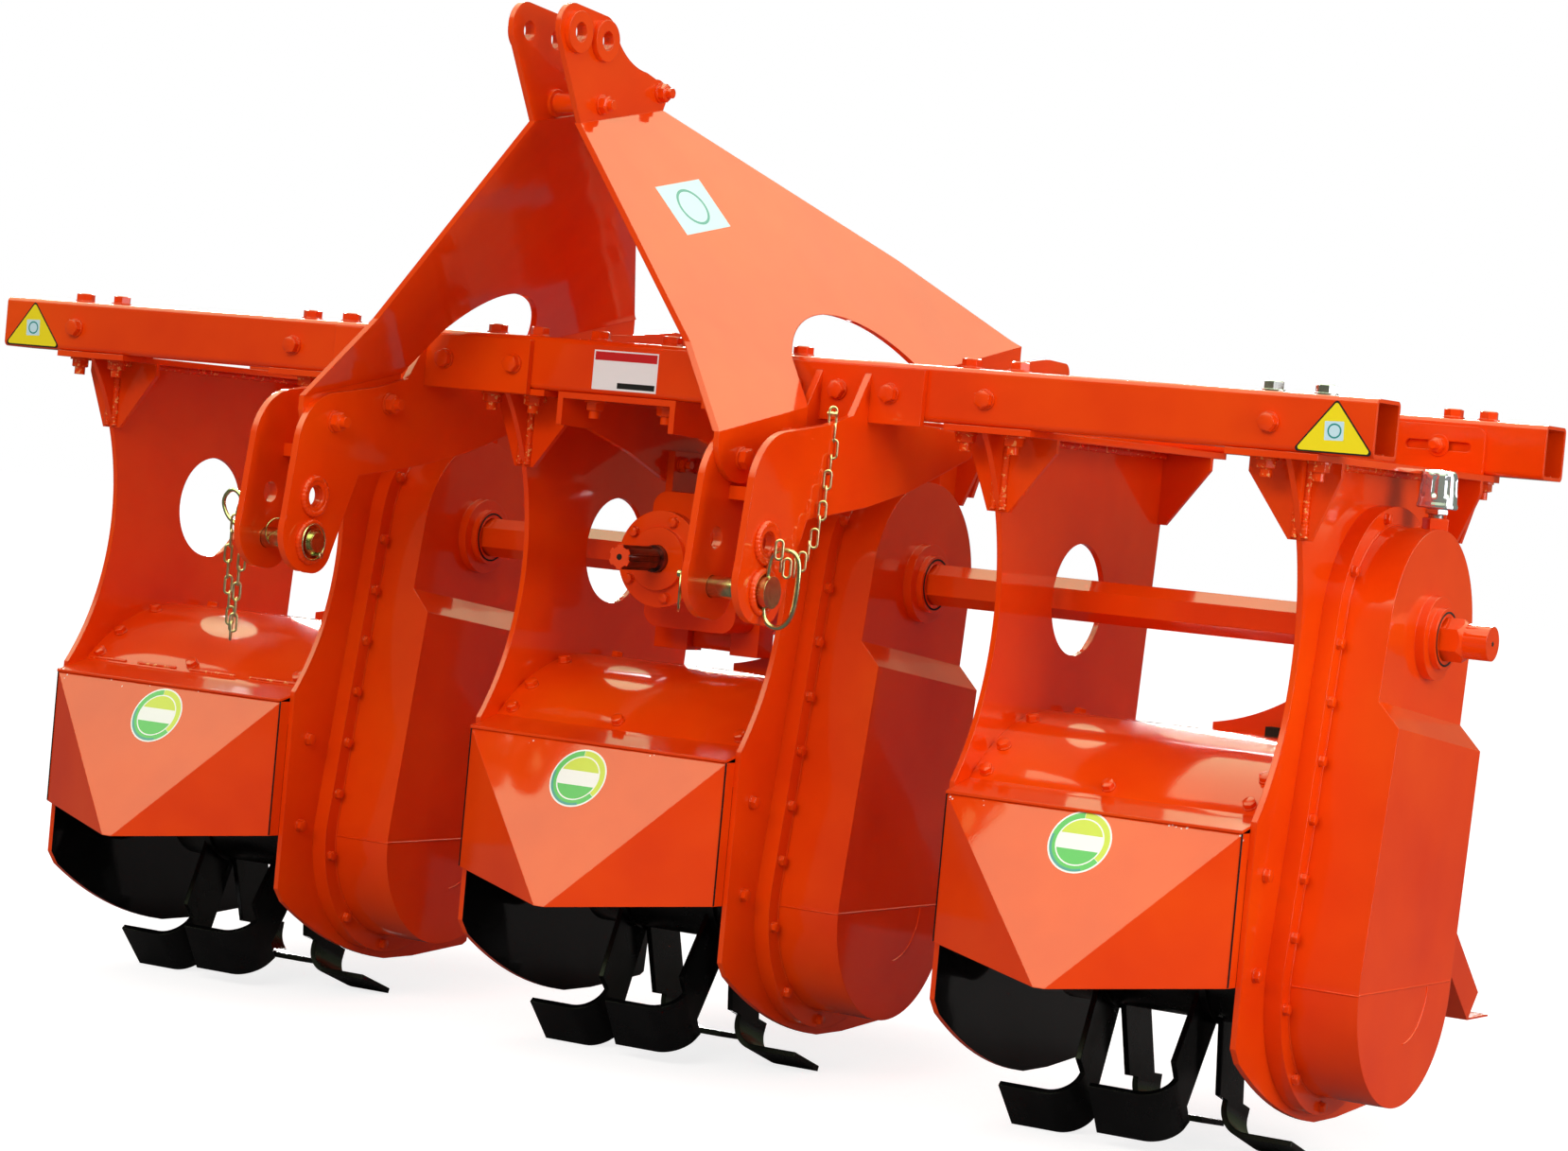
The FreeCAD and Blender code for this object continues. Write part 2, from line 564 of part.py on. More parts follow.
def hanger_plate(unit_x, plate_solid):
    """Slotted plate that bolts the unit's right side to the rear bar."""
    x = unit_x + PLATE_RIGHT_X
    y = REAR_TUBE_Y - PLATE_THICKNESS
    top = TUBE_TOP_Z - 10
    right = x + 34
    corner = HANGER_CORNER_R
    bow = corner * (1 - math.sqrt(0.5))
    plate = plate_y((x - 95, top),
                    [(right - corner, top), ((right - bow, top - bow), (right, top - corner)),
                     (right, 205), (x + 12, 126), (x, 126), (x - 95, 205)], y, PLATE_THICKNESS)
    slot_z = TUBE_TOP_Z - 39
    half = SLOT_WIDTH / 2.0
    slot = box(x - 76, x + 14 - half, y - 1, y + PLATE_THICKNESS + 1, slot_z - half, slot_z + half)
    ends = [rod_y(half, y - 1, y + PLATE_THICKNESS + 1, end, slot_z) for end in (x - 76, x + 14 - half)]
    return plate.cut(join([slot] + ends)).cut(plate_solid)


def flap(unit_x):
    """Trailing board: sheet, raised sides, level end strip, and its hinge knuckles."""
    x0 = unit_x + INNER_LEFT_X + SIDE_CLEARANCE
    x1 = unit_x + INNER_RIGHT_X - SIDE_CLEARANCE
    gap = 1.0

    def bar(out0, out1, down0, down1, xa, xb):
        return plate_x(from_edge(out0, down0), [from_edge(out0, down1), from_edge(out1, down1),
                                                from_edge(out1, down0)], xa, xb - xa)
    sheet = bar(-FLAP_THICKNESS, 0, gap, FLAP_LENGTH, x0, x1)
    side_start = 2 * HINGE_KNUCKLE_R + HINGE_STRAP_LENGTH
    pieces = [sheet]
    for xa in (x0, x1 - FLAP_THICKNESS):
        pieces.append(bar(-FLAP_THICKNESS, FLAP_FLANGE, side_start, FLAP_LENGTH, xa, xa + FLAP_THICKNESS))
    tip_y, tip_z = from_edge(0, FLAP_LENGTH)
    end_y, end_z = from_edge(-FLAP_THICKNESS, FLAP_LENGTH)
    pieces.append(box(x0, x1, end_y, tip_y + FLAP_LIP, end_z, end_z + FLAP_THICKNESS))
    y, z = HINGE_AXIS
    hood_x0 = unit_x + INNER_LEFT_X
    hood_x1 = unit_x + INNER_RIGHT_X
    for a, b in knuckle_spans(12.0 + HINGE_KNUCKLE_LENGTH, hood_x0, hood_x1 - 10):
        pieces.append(rod_x(HINGE_KNUCKLE_R, a, b, y, z))
        pieces.append(strap(gap, HINGE_STRAP_LENGTH, a, b))
    solid = join(pieces)
    solid = solid.cut(rod_x(HINGE_ROD_R + RUNNING_GAP, x0 - 20, x1 + 20, y, z))
    return solid.removeSplitter()


def hood_top_z(y):
    """Height of the hood's outer face at y."""
    return ROTOR_Z + math.sqrt(HOOD_R ** 2 - (y - ROTOR_Y) ** 2)


def hood_gusset(unit_x):
    """Rib across the top of the hood, rising to the right side plate."""
    x0 = unit_x + HOOD_GUSSET_START
    x1 = unit_x + INNER_RIGHT_X
    y = HOOD_GUSSET_Y
    foot = hood_top_z(y)
    sunk = foot - HOOD_THICKNESS
    under_shaft = -HEX_CORNER_R - RIB_CLEARANCE
    rib = plate_y((x0, sunk), [(x0, foot + 14), ((x0 + 58, foot + 30), (x0 + 108, foot + 55)),
                               (x1, under_shaft), (x1, sunk)], y, 6)
    return rib.cut(rod_x(HOOD_R, x0 - 5, x1 + 5, ROTOR_Y, ROTOR_Z))


def hood_buffer(unit_x):
    """Rubber block on the hood in front of the rib."""
    x = unit_x + HOOD_GUSSET_START + 85
    y = HOOD_GUSSET_Y - 16
    block = box(x, x + 20, y, HOOD_GUSSET_Y, hood_top_z(y) - 8, hood_top_z(y) + 14)
    return block.cut(rod_x(HOOD_R, x - 5, x + 25, ROTOR_Y, ROTOR_Z))


def rotor(unit_x):
    x0 = unit_x + INNER_LEFT_X
    x1 = unit_x + INNER_RIGHT_X
    tube = rod_x(ROTOR_TUBE_R, x0 + ROTOR_END_GAP, x1 - ROTOR_END_GAP, ROTOR_Y, ROTOR_Z)
    stub = rod_x(ROTOR_STUB_R, x0 - PLATE_THICKNESS - 26, x1 + PLATE_THICKNESS + 50,
                 ROTOR_Y, ROTOR_Z)
    pieces = [tube, stub]
    for x in ROTOR_FLANGE_XS:
        half = ROTOR_FLANGE_THICKNESS / 2.0
        pieces.append(rod_x(ROTOR_FLANGE_R, unit_x + x - half, unit_x + x + half,
                            ROTOR_Y, ROTOR_Z))
    return join(pieces)


def blade(side):
    """One blade hanging from the rotor axis: radial shank, and a foot towards side."""
    near = ROTOR_FLANGE_THICKNESS / 2.0
    far = near + BLADE_THICKNESS
    tilt = math.radians(BLADE_FOOT_TILT)
    half = BLADE_FOOT_WIDTH / 2.0
    # the tilted foot's low corner lies on the corner circle
    low_y = half * math.cos(tilt)
    low_z = math.sqrt(BLADE_CORNER_R ** 2 - low_y ** 2)
    centre_r = low_z - half * math.sin(tilt)
    inner_r = BLADE_BEND_R - BLADE_THICKNESS
    bend_x = near + BLADE_BEND_R
    diagonal = math.sqrt(0.5)
    shoulder = BLADE_BEND_R + 14
    # foot and bend, drawn about the foot's middle, then tilted
    start = (near, shoulder)
    steps = [(near, BLADE_BEND_R),
             ((bend_x - BLADE_BEND_R * diagonal, BLADE_BEND_R - BLADE_BEND_R * diagonal), (bend_x, 0.0)),
             (BLADE_SIDE_REACH, 0.0), (BLADE_SIDE_REACH, BLADE_THICKNESS), (bend_x, BLADE_THICKNESS),
             ((bend_x - inner_r * diagonal, BLADE_BEND_R - inner_r * diagonal), (far, BLADE_BEND_R)),
             (far, shoulder)]
    foot = plate_y(start, steps, -half, BLADE_FOOT_WIDTH)
    foot.rotate(Vector(0, 0, 0), Vector(1, 0, 0), -BLADE_FOOT_TILT)
    foot.translate(Vector(0, 0, -centre_r))
    shank_half = BLADE_SHANK_WIDTH / 2.0
    low = -centre_r + shoulder - 4
    slope = math.tan(tilt) * shank_half
    shank = plate_x((-shank_half, -BLADE_ROOT_R),
                    [(shank_half, -BLADE_ROOT_R), (shank_half, low - slope),
                     (-shank_half, low + slope)], near, BLADE_THICKNESS)
    solid = join([shank, foot])
    return solid if side > 0 else mirrored(solid)


def blades(unit_x):
    """Both flanges' blades: left and right feet by turns, the second flange lagging."""
    solids = []
    for k, flange_x in enumerate(ROTOR_FLANGE_XS):
        for side, lead in ((-1, 0.0), (1, BLADE_LEAD)):
            for i in range(BLADES_EACH_WAY):
                one = blade(side)
                turn = BLADE_PHASE + lead + i * 360.0 / BLADES_EACH_WAY - k * BLADE_OFFSET
                one.rotate(Vector(0, 0, 0), Vector(1, 0, 0), turn)
                one.translate(Vector(unit_x + flange_x, ROTOR_Y, ROTOR_Z))
                solids.append(one)
    return Part.makeCompound(solids)


def rotor_bearing(unit_x):
    x = unit_x + PLATE_LEFT_X
    pieces = [rod_x(62, x - 10, x, ROTOR_Y, ROTOR_Z), rod_x(44, x - 30, x, ROTOR_Y, ROTOR_Z)]
    return join(pieces).cut(rod_x(ROTOR_STUB_R + RUNNING_GAP, x - 27, x + 1, ROTOR_Y, ROTOR_Z))


# ---------------------------------------------------------------- drive line
def cross_shaft():
    x0 = -ROW_SPACING + PLATE_RIGHT_X + 21
    hex_end = SHAFT_END_X - SHAFT_END_LENGTH
    bar = hex_x(HEX_ACROSS_FLATS, x0, hex_end, SHAFT_Y, 0)
    cone = Part.makeCone(HEX_CORNER_R + 4, SHAFT_END_R, 12, Vector(hex_end - 12, SHAFT_Y, 0),
                         Vector(1, 0, 0))
    trim = rod_x(2 * HEX_CORNER_R, hex_end - 12, hex_end + 1, SHAFT_Y, 0).cut(cone)
    return join([bar.cut(trim), rod_x(SHAFT_END_R, hex_end - 1, SHAFT_END_X, SHAFT_Y, 0)])


def pto_shaft():
    core = rod_y(PTO_ROOT_R, 0, INPUT_FLANGE_Y + 80, 0, 0)
    collar = rod_y(PTO_R + 2, PTO_SPLINE_LENGTH + 10, INPUT_FLANGE_Y + 60, 0, 0)
    pieces = [core, collar]
    width = 8.6
    for i in range(PTO_SPLINES):
        tooth = box(-width / 2, width / 2, 0, PTO_SPLINE_LENGTH, 0, PTO_R + 2)
        tooth = tooth.common(rod_y(PTO_R, 0, PTO_SPLINE_LENGTH, 0, 0))
        tooth.rotate(Vector(0, 0, 0), Vector(0, 1, 0), i * 360.0 / PTO_SPLINES)
        pieces.append(tooth)
    return join(pieces)


def gearbox():
    w = GEARBOX_HALF_WIDTH
    body = box(-w + 14, w - 14, GEARBOX_FRONT_Y, GEARBOX_REAR_Y, GEARBOX_BOTTOM_Z, GEARBOX_TOP_Z)
    body = body.makeFillet(24, [e for e in body.Edges if abs(e.Length - (GEARBOX_REAR_Y - GEARBOX_FRONT_Y)) < 1e-6])
    pieces = [body,
              rod_x(78, -w, w, SHAFT_Y, 0),
              rod_y(INPUT_FLANGE_R, INPUT_FLANGE_Y, INPUT_FLANGE_Y + INPUT_FLANGE_THICKNESS, 0, 0),
              rod_y(INPUT_BOSS_R, INPUT_FLANGE_Y - 8, INPUT_FLANGE_Y, 0, 0),
              rod_y(INPUT_FLANGE_R - 12, INPUT_FLANGE_Y, GEARBOX_FRONT_Y + 5, 0, 0)]
    for x0, x1 in GEARBOX_FEET_X:
        pieces.append(box(x0, x1, GEARBOX_FOOT_Y - GEARBOX_FOOT_HALF, GEARBOX_FOOT_Y + GEARBOX_FOOT_HALF,
                          GEARBOX_BOTTOM_Z - GEARBOX_FOOT_DROP, GEARBOX_BOTTOM_Z + 40))
    lug = HANGER_HALF_WIDTH - HANGER_THICKNESS
    for side in (-1, 1):
        x0, x1 = sorted((side * lug, side * (lug - 12)))
        pieces.append(box(x0, x1, *GEARBOX_LUG_Y, GEARBOX_TOP_Z - 40, GEARBOX_LUG_TOP_Z))
        x0, x1 = sorted((side * (lug - 6), side * 40))
        pieces.append(box(x0, x1, *GEARBOX_LUG_Y, GEARBOX_TOP_Z - 40, GEARBOX_TOP_Z))
    solid = join(pieces)
    solid = solid.cut(rod_x(SHAFT_BORE_R, -w - 1, w + 1, SHAFT_Y, 0))
    solid = solid.cut(rod_y(PTO_R + 2 + RUNNING_GAP, INPUT_FLANGE_Y - 9, INPUT_FLANGE_Y + 61, 0, 0))
    return solid.cut(rod_y(PTO_ROOT_R + RUNNING_GAP, INPUT_FLANGE_Y, INPUT_FLANGE_Y + 81, 0, 0))


def gearbox_hanger():
    """Channel under the bars, open downwards, that carries the gearbox by its lugs."""
    half = HANGER_HALF_WIDTH
    top = TUBE_BOTTOM_Z - HANGER_THICKNESS
    back = REAR_TUBE_Y + TUBE_SIZE
    lug_front, lug_rear = GEARBOX_LUG_Y
    outline = [(FRONT_TUBE_Y + 77, 174), (lug_front - 99, 146), (lug_front + 7, 109),
               (lug_rear + 10, 105), (GEARBOX_REAR_Y + 45, 150), (REAR_TUBE_Y - 8, 174), (back, 177),
               (back, TUBE_BOTTOM_Z), (FRONT_TUBE_Y, TUBE_BOTTOM_Z)]
    pieces = [box(-half, half, FRONT_TUBE_Y, back, top, TUBE_BOTTOM_Z)]
    for x in (-half, half - HANGER_THICKNESS):
        pieces.append(plate_x((FRONT_TUBE_Y, 177), outline, x, HANGER_THICKNESS))
    return join(pieces)


def breather(unit_x):
    """Oil filler and breather on top of a chain case."""
    x = unit_x + PLATE_RIGHT_X + BREATHER_X
    y = BREATHER_Y
    up = Vector(0, 0, 1)
    base = CASE_UPPER_R - 5
    hex_top = BREATHER_TOP_Z - 48
    stub = Part.makeCylinder(13, hex_top - base, Vector(x, y, base), up)
    half = BREATHER_BLOCK / 2.0
    block = box(x - half, x + half, y - half, y + half, base - 12, hex_top - 27)
    corners = [Vector(x + 22 * math.cos(math.radians(60 * i)), y + 22 * math.sin(math.radians(60 * i)),
                      hex_top - 24) for i in range(7)]
    nut = Part.Face(Part.makePolygon(corners)).extrude(Vector(0, 0, 24))
    cap = Part.makeCylinder(23, BREATHER_TOP_Z - hex_top, Vector(x, y, hex_top), up)
    return join([block, stub, nut, cap]).cut(rod_x(CASE_UPPER_R, x - 40, x + 40, SHAFT_Y, 0))


# ---------------------------------------------------------------- write the pieces
def main():
    save("tube_front", tool_bar(FRONT_TUBE_Y))
    save("tube_rear", tool_bar(REAR_TUBE_Y))
    for name, x in (("right_inner", HITCH_INNER_X), ("right_outer", HITCH_OUTER_X)):
        save("hitch_plate_" + name, hitch_plate(x))
        save("hitch_plate_" + name.replace("right", "left"), mirrored(hitch_plate(x)))
    save("front_pad_left", front_pad(-PAD_OUTER_X, -PAD_INNER_X))
    save("front_pad_right", front_pad(PAD_INNER_X, PAD_OUTER_X))
    for name, side in (("left", -1), ("right", 1)):
        save("clevis_block_" + name, clevis_block(side))
        save("hitch_pin_" + name, hitch_pin(side))
        save("a_frame_" + name, a_frame_leg(side))
        save("ear_doubler_" + name, ear_doubler(side))
        save("rear_bracket_" + name, rear_bracket(side))
    save("mast_spacers", mast_spacers())
    save("cross_shaft", cross_shaft())
    save("pto_shaft", pto_shaft())
    save("gearbox", gearbox())
    save("gearbox_hanger", gearbox_hanger())
    for name, unit_x in UNITS:
        left = side_plate(unit_x + PLATE_LEFT_X, 1, PLATE_HOLE_R, ROTOR_STUB_R + RUNNING_GAP)
        shaft_hole_r = 0.0 if name == "left" else SHAFT_BORE_R
        right = side_plate(unit_x + INNER_RIGHT_X, -1, shaft_hole_r, ROTOR_STUB_R + RUNNING_GAP)
        save("side_plate_left_" + name, left)
        save("side_plate_right_" + name, right)
        save("hood_" + name, hood(unit_x))
        save("front_cover_" + name, front_cover(unit_x))
        save("chain_case_" + name, chain_case(unit_x, name != "left"))
        save("hanger_plate_" + name, hanger_plate(unit_x, right))
        save("flap_" + name, flap(unit_x))
        save("hood_gusset_" + name, hood_gusset(unit_x))
        save("rotor_" + name, rotor(unit_x))
        save("blades_" + name, blades(unit_x))
    save("rotor_bearings", Part.makeCompound([rotor_bearing(x) for _, x in UNITS]))
    save("hood_buffers", Part.makeCompound([hood_buffer(x) for _, x in UNITS]))
    save("breathers", Part.makeCompound([breather(x) for _, x in UNITS]))


main()
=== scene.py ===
"""Looks of the three-row rotary weeder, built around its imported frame.

Metres, in the row frame: +X along the tool bars, +Y rearwards, +Z up.
"""
import bpy
import bmesh
import math
from mathutils import Matrix, Vector


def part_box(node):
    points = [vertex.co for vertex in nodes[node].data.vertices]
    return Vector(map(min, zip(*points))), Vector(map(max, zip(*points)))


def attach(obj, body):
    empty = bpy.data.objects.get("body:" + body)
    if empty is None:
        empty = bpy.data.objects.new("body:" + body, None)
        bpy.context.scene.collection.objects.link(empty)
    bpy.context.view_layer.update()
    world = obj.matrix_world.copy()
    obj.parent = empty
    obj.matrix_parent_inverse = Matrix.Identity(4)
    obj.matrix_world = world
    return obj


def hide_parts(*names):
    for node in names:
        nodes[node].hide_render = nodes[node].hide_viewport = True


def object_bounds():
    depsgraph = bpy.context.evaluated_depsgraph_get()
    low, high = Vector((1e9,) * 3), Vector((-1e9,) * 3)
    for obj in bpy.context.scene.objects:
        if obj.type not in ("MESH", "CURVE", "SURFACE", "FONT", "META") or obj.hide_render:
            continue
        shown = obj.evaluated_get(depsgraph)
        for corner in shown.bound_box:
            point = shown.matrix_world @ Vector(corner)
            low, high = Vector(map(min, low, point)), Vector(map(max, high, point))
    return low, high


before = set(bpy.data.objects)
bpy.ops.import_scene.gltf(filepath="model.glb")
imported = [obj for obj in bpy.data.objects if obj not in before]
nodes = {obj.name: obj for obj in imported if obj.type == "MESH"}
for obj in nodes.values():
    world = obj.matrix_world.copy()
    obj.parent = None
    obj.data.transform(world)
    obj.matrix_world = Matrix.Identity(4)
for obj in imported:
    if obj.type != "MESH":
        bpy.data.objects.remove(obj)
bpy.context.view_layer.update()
MM = 0.001
ROW_SPACING = 771.0
UNITS = {"left": -ROW_SPACING, "middle": 0.0, "right": ROW_SPACING}

# sizes that the construction also uses, in millimetres
BAR_FRONT = -43.0
BAR_TOP = 298.0
BAR_BOTTOM = 223.0
BAR_MIDDLES = {"front": -5.0, "rear": 590.0}
REAR_BAR_FRONT = 553.0
ROTOR = (235.0, -458.0)
SHAFT_Y = 288.0
HOOD_R = 305.0
PLATE_LEFT = -205.0
PLATE_RIGHT = 240.0
PLATE = 8.0
FOOT_PLATE = 9.0
CASE_UPPER_R = 143.0
CASE_LOWER_R = 157.0
CASE_RIM_FACE = 24.0
CASE_UPPER_DEPTH = 86.0
CASE_LOWER_DEPTH = 119.0
COVER_EDGE = (-40.0, -262.0)
COVER_RISE = (0.0, 0.471, 0.882)
PIN_Y = -283.0
PIN_Z = -16.0
HOLE_Z = PIN_Z + 63.0
HITCH_INNER = 324.0
HITCH_OUTER = 400.0
HITCH_PLATE = 10.0
EAR_OUTER = 42.0
LEG_FOOT_OUTER = 342.0


def mm(x, y, z):
    return Vector((x * MM, y * MM, z * MM))


def srgb(code):
    """A hex sRGB colour as linear RGBA."""
    values = [int(code[i:i + 2], 16) / 255.0 for i in (1, 3, 5)]
    return [v / 12.92 if v <= 0.04045 else ((v + 0.055) / 1.055) ** 2.4 for v in values] + [1.0]


def add(tree, kind, inputs=None, **settings):
    """Adds a node with its settings; an input takes a value or another node's socket."""
    new = tree.nodes.new(kind)
    for name, value in settings.items():
        setattr(new, name, value)
    for key, value in (inputs or {}).items():
        if isinstance(value, bpy.types.NodeSocket):
            tree.links.new(value, new.inputs[key])
        else:
            new.inputs[key].default_value = value
    return new


def maths(tree, operation, *values):
    return add(tree, "ShaderNodeMath", dict(enumerate(values)), operation=operation).outputs[0]


# ---------------------------------------- finishes
def new_material(name):
    """An empty material, its node tree and the piece's own coordinates in metres."""
    material = bpy.data.materials.new(name)
    material.use_nodes = True
    tree = material.node_tree
    tree.nodes.clear()
    return material, tree, add(tree, "ShaderNodeTexCoord").outputs["Object"]


def surface(material, inputs):
    """Gives a material its one principled shader."""
    tree = material.node_tree
    shader = add(tree, "ShaderNodeBsdfPrincipled", inputs)
    add(tree, "ShaderNodeOutputMaterial", {"Surface": shader.outputs[0]})
    return material


def ramp(tree, fac, stops):
    node = add(tree, "ShaderNodeValToRGB", {"Fac": fac})
    band = node.color_ramp
    while len(band.elements) < len(stops):
        band.elements.new(0.5)
    for element, (place, colour) in zip(band.elements, stops):
        element.position = place
        element.color = colour
    return node.outputs["Color"]


def noise(tree, place, scale, detail, distortion=0.0):
    """Noise whose patches are about 1 / scale metres wide."""
    return add(tree, "ShaderNodeTexNoise", {"Vector": place, "Scale": scale, "Detail": detail,
                                            "Distortion": distortion}).outputs[0]


def soft_edge(tree, radius):
    """Normal that rounds the edges of cut and bent plate."""
    return add(tree, "ShaderNodeBevel", {"Radius": radius}, samples=4).outputs[0]


def bumps(tree, height, strength, distance, normal=None):
    inputs = {"Height": height, "Strength": strength, "Distance": distance}
    if normal is not None:
        inputs["Normal"] = normal
    return add(tree, "ShaderNodeBump", inputs).outputs[0]


def covered(tree, mask, colour, other):
    """The colour, or the other one where the mask is 1."""
    return add(tree, "ShaderNodeMix", {0: mask, 6: colour, 7: srgb(other)},
               data_type="RGBA").outputs[2]


def both(tree, first, second):
    """1 where both masks are 1."""
    return maths(tree, "MULTIPLY", first, second)


def primer_chips(tree, place, colour):
    """Chips of up to 3 mm along a cover's top edge, down to the pale primer."""
    cells = add(tree, "ShaderNodeTexVoronoi", {"Vector": place, "Scale": 160.0})
    spot = maths(tree, "LESS_THAN", cells.outputs["Distance"], 0.22)
    area = maths(tree, "GREATER_THAN", noise(tree, place, 24.0, 2.0), 0.60)
    height = add(tree, "ShaderNodeSeparateXYZ", {"Vector": place}).outputs["Z"]
    high = maths(tree, "GREATER_THAN", height, (COVER_EDGE[1] - 10.0) * MM)
    return covered(tree, both(tree, both(tree, spot, area), high), colour, "#E9D8CE")


def black_inside(tree, place, colour):
    """Black under each hood, up to where its sheet meets the side plates."""
    xyz = add(tree, "ShaderNodeSeparateXYZ", {"Vector": place}).outputs
    half_row = ROW_SPACING / 2 * MM
    across = maths(tree, "WRAP", xyz["X"], half_row, -half_row)
    y = maths(tree, "SUBTRACT", xyz["Y"], ROTOR[0] * MM)
    z = maths(tree, "SUBTRACT", xyz["Z"], ROTOR[1] * MM)
    squares = maths(tree, "ADD", maths(tree, "MULTIPLY", y, y), maths(tree, "MULTIPLY", z, z))
    within = maths(tree, "LESS_THAN", maths(tree, "SQRT", squares), (HOOD_R - 2.5) * MM)
    left = maths(tree, "GREATER_THAN", across, (PLATE_LEFT + PLATE - 0.5) * MM)
    right = maths(tree, "LESS_THAN", across, (PLATE_RIGHT - PLATE + 0.5) * MM)
    return covered(tree, both(tree, within, both(tree, left, right)), colour, "#080707")


def spatter_and_glint_flecks(tree, place, colour):
    """Thin paint over weld spatter, which shows through in straw-coloured flecks of 1 to 4 mm; on
    the cover's return welds the same flecks are painted highlights.
    """
    fleck_mask = maths(tree, "GREATER_THAN", noise(tree, place, 170.0, 2.0), 0.61)
    return covered(tree, fleck_mask, colour, "#F09450")


def orange_enamel(name, extra=None):
    """Alkyd machine enamel sprayed on mild steel: wet gloss, faint orange peel, drifts of tone."""
    material, tree, place = new_material(name)
    # the tone drifts over about 200 mm
    colour = ramp(tree, noise(tree, place, 5.0, 3.0),
                  [(0.3, srgb("#DF3802")), (0.52, srgb("#E84102")), (0.75, srgb("#EE4B03"))])
    # orange peel is 2 mm in the real coat and is drawn at 4 mm so that it shows
    peel = bumps(tree, noise(tree, place, 250.0, 1.0), 0.05, 0.0006, soft_edge(tree, 0.0016))
    # the sheet itself waves over about 110 mm
    waves = bumps(tree, noise(tree, place, 9.0, 1.0), 0.25, 0.004, peel)
    if extra:
        colour = extra(tree, place, colour)
    return surface(material, {
        "Base Color": colour, "Roughness": 0.45, "IOR": 1.45, "Specular IOR Level": 0.05,
        "Coat Weight": 0.9, "Coat Roughness": 0.07, "Coat IOR": 1.5, "Normal": waves,
        "Coat Normal": waves})


def black_enamel():
    """Black chassis enamel brushed over cut and bent plate: satin, with dust in its low gloss."""
    material, tree, place = new_material("black_chassis_enamel")
    dust = noise(tree, place, 14.0, 6.0)
    colour = ramp(tree, dust, [(0.35, srgb("#060607")), (0.7, srgb("#111010"))])
    rough = ramp(tree, dust, [(0.3, (0.16, 0.16, 0.16, 1)), (0.75, (0.4, 0.4, 0.4, 1))])
    brush = bumps(tree, noise(tree, place, 120.0, 3.0), 0.2, 0.0006, soft_edge(tree, 0.002))
    return surface(material, {"Base Color": colour, "Roughness": rough, "IOR": 1.5,
                              "Normal": brush})


def zinc(name, tints, roughness):
    """Electroplated zinc with a chromate film, whose tint drifts in cloudy patches of 20 mm."""
    material, tree, place = new_material(name)
    stops = [(0.3 + 0.4 * i / (len(tints) - 1), srgb(tint)) for i, tint in enumerate(tints)]
    colour = ramp(tree, noise(tree, place, 45.0, 2.0, distortion=0.6), stops)
    return surface(material, {"Base Color": colour, "Metallic": 1.0, "Roughness": roughness,
                              "Normal": soft_edge(tree, 0.0008)})


def greased_splines():
    """Splined steel with paint over its first few millimetres and dark grease on its flanks."""
    material, tree, place = new_material("greased_steel_overspray")
    film = noise(tree, place, 60.0, 3.0)
    grease = ramp(tree, film, [(0.35, srgb("#1E0704")), (0.55, srgb("#4A100A")),
                               (0.75, srgb("#7C1D12"))])
    behind_tip = add(tree, "ShaderNodeSeparateXYZ", {"Vector": place}).outputs["Y"]
    smeared = maths(tree, "MULTIPLY_ADD", film, 0.008, behind_tip)
    colour = covered(tree, maths(tree, "LESS_THAN", smeared, 0.0065), grease, "#E8440A")
    return surface(material, {"Base Color": colour, "Roughness": 0.3, "Specular IOR Level": 0.7,
                              "Normal": soft_edge(tree, 0.0006)})


def plain_material(name, code, metallic=0.0, roughness=0.5, coat=0.0, grain=300.0, depth=0.0003):
    """A single-tone finish with a fine surface grain."""
    material, tree, place = new_material(name)
    return surface(material, {
        "Base Color": srgb(code), "Metallic": metallic, "Roughness": roughness,
        "Coat Weight": coat, "Coat Roughness": 0.05,
        "Normal": bumps(tree, noise(tree, place, grain, 2.0), 0.15, depth)})


ENAMEL = orange_enamel("orange_alkyd_enamel")
ENAMEL_CHIPPED = orange_enamel("orange_alkyd_enamel_chipped", primer_chips)
ENAMEL_SPATTER_GLINTS = orange_enamel("orange_enamel_spatter_and_glint_flecks", spatter_and_glint_flecks)
ENAMEL_HOOD = orange_enamel("orange_enamel_black_inside", black_inside)
BLACK = black_enamel()
# yellow passivated pins and chains show straw, green and pink in their film
PIN_ZINC = zinc("yellow_passivated_zinc", ["#C4B98C", "#DCDAA8", "#C2C795", "#D2A9A0"], 0.22)
CHAIN_ZINC = zinc("yellow_zinc_chain", ["#D2BE86", "#EBDDB2", "#CDBB96"], 0.34)
BRIGHT_ZINC = zinc("blue_passivated_zinc", ["#C9CDD0", "#E2E5E6"], 0.26)
STEEL = greased_splines()
CHROME = plain_material("chrome_plate", "#E4E8EE", metallic=0.85, roughness=0.1, grain=20.0,
                        depth=0.0002)
RUBBER = plain_material("moulded_rubber", "#141312", roughness=0.75, grain=500.0, depth=0.0005)
VINYL = {word: plain_material("gloss_vinyl_" + word, code, roughness=0.3, coat=0.4)
         for word, code in (("white", "#F1F0EC"), ("pale_blue", "#C6E4EA"),
                            ("sea_green", "#0E8C86"), ("yellow", "#F2DC10"), ("red", "#C8161C"),
                            ("green", "#3DB54A"), ("lime", "#C6D52A"), ("black", "#1A1A1C"))}
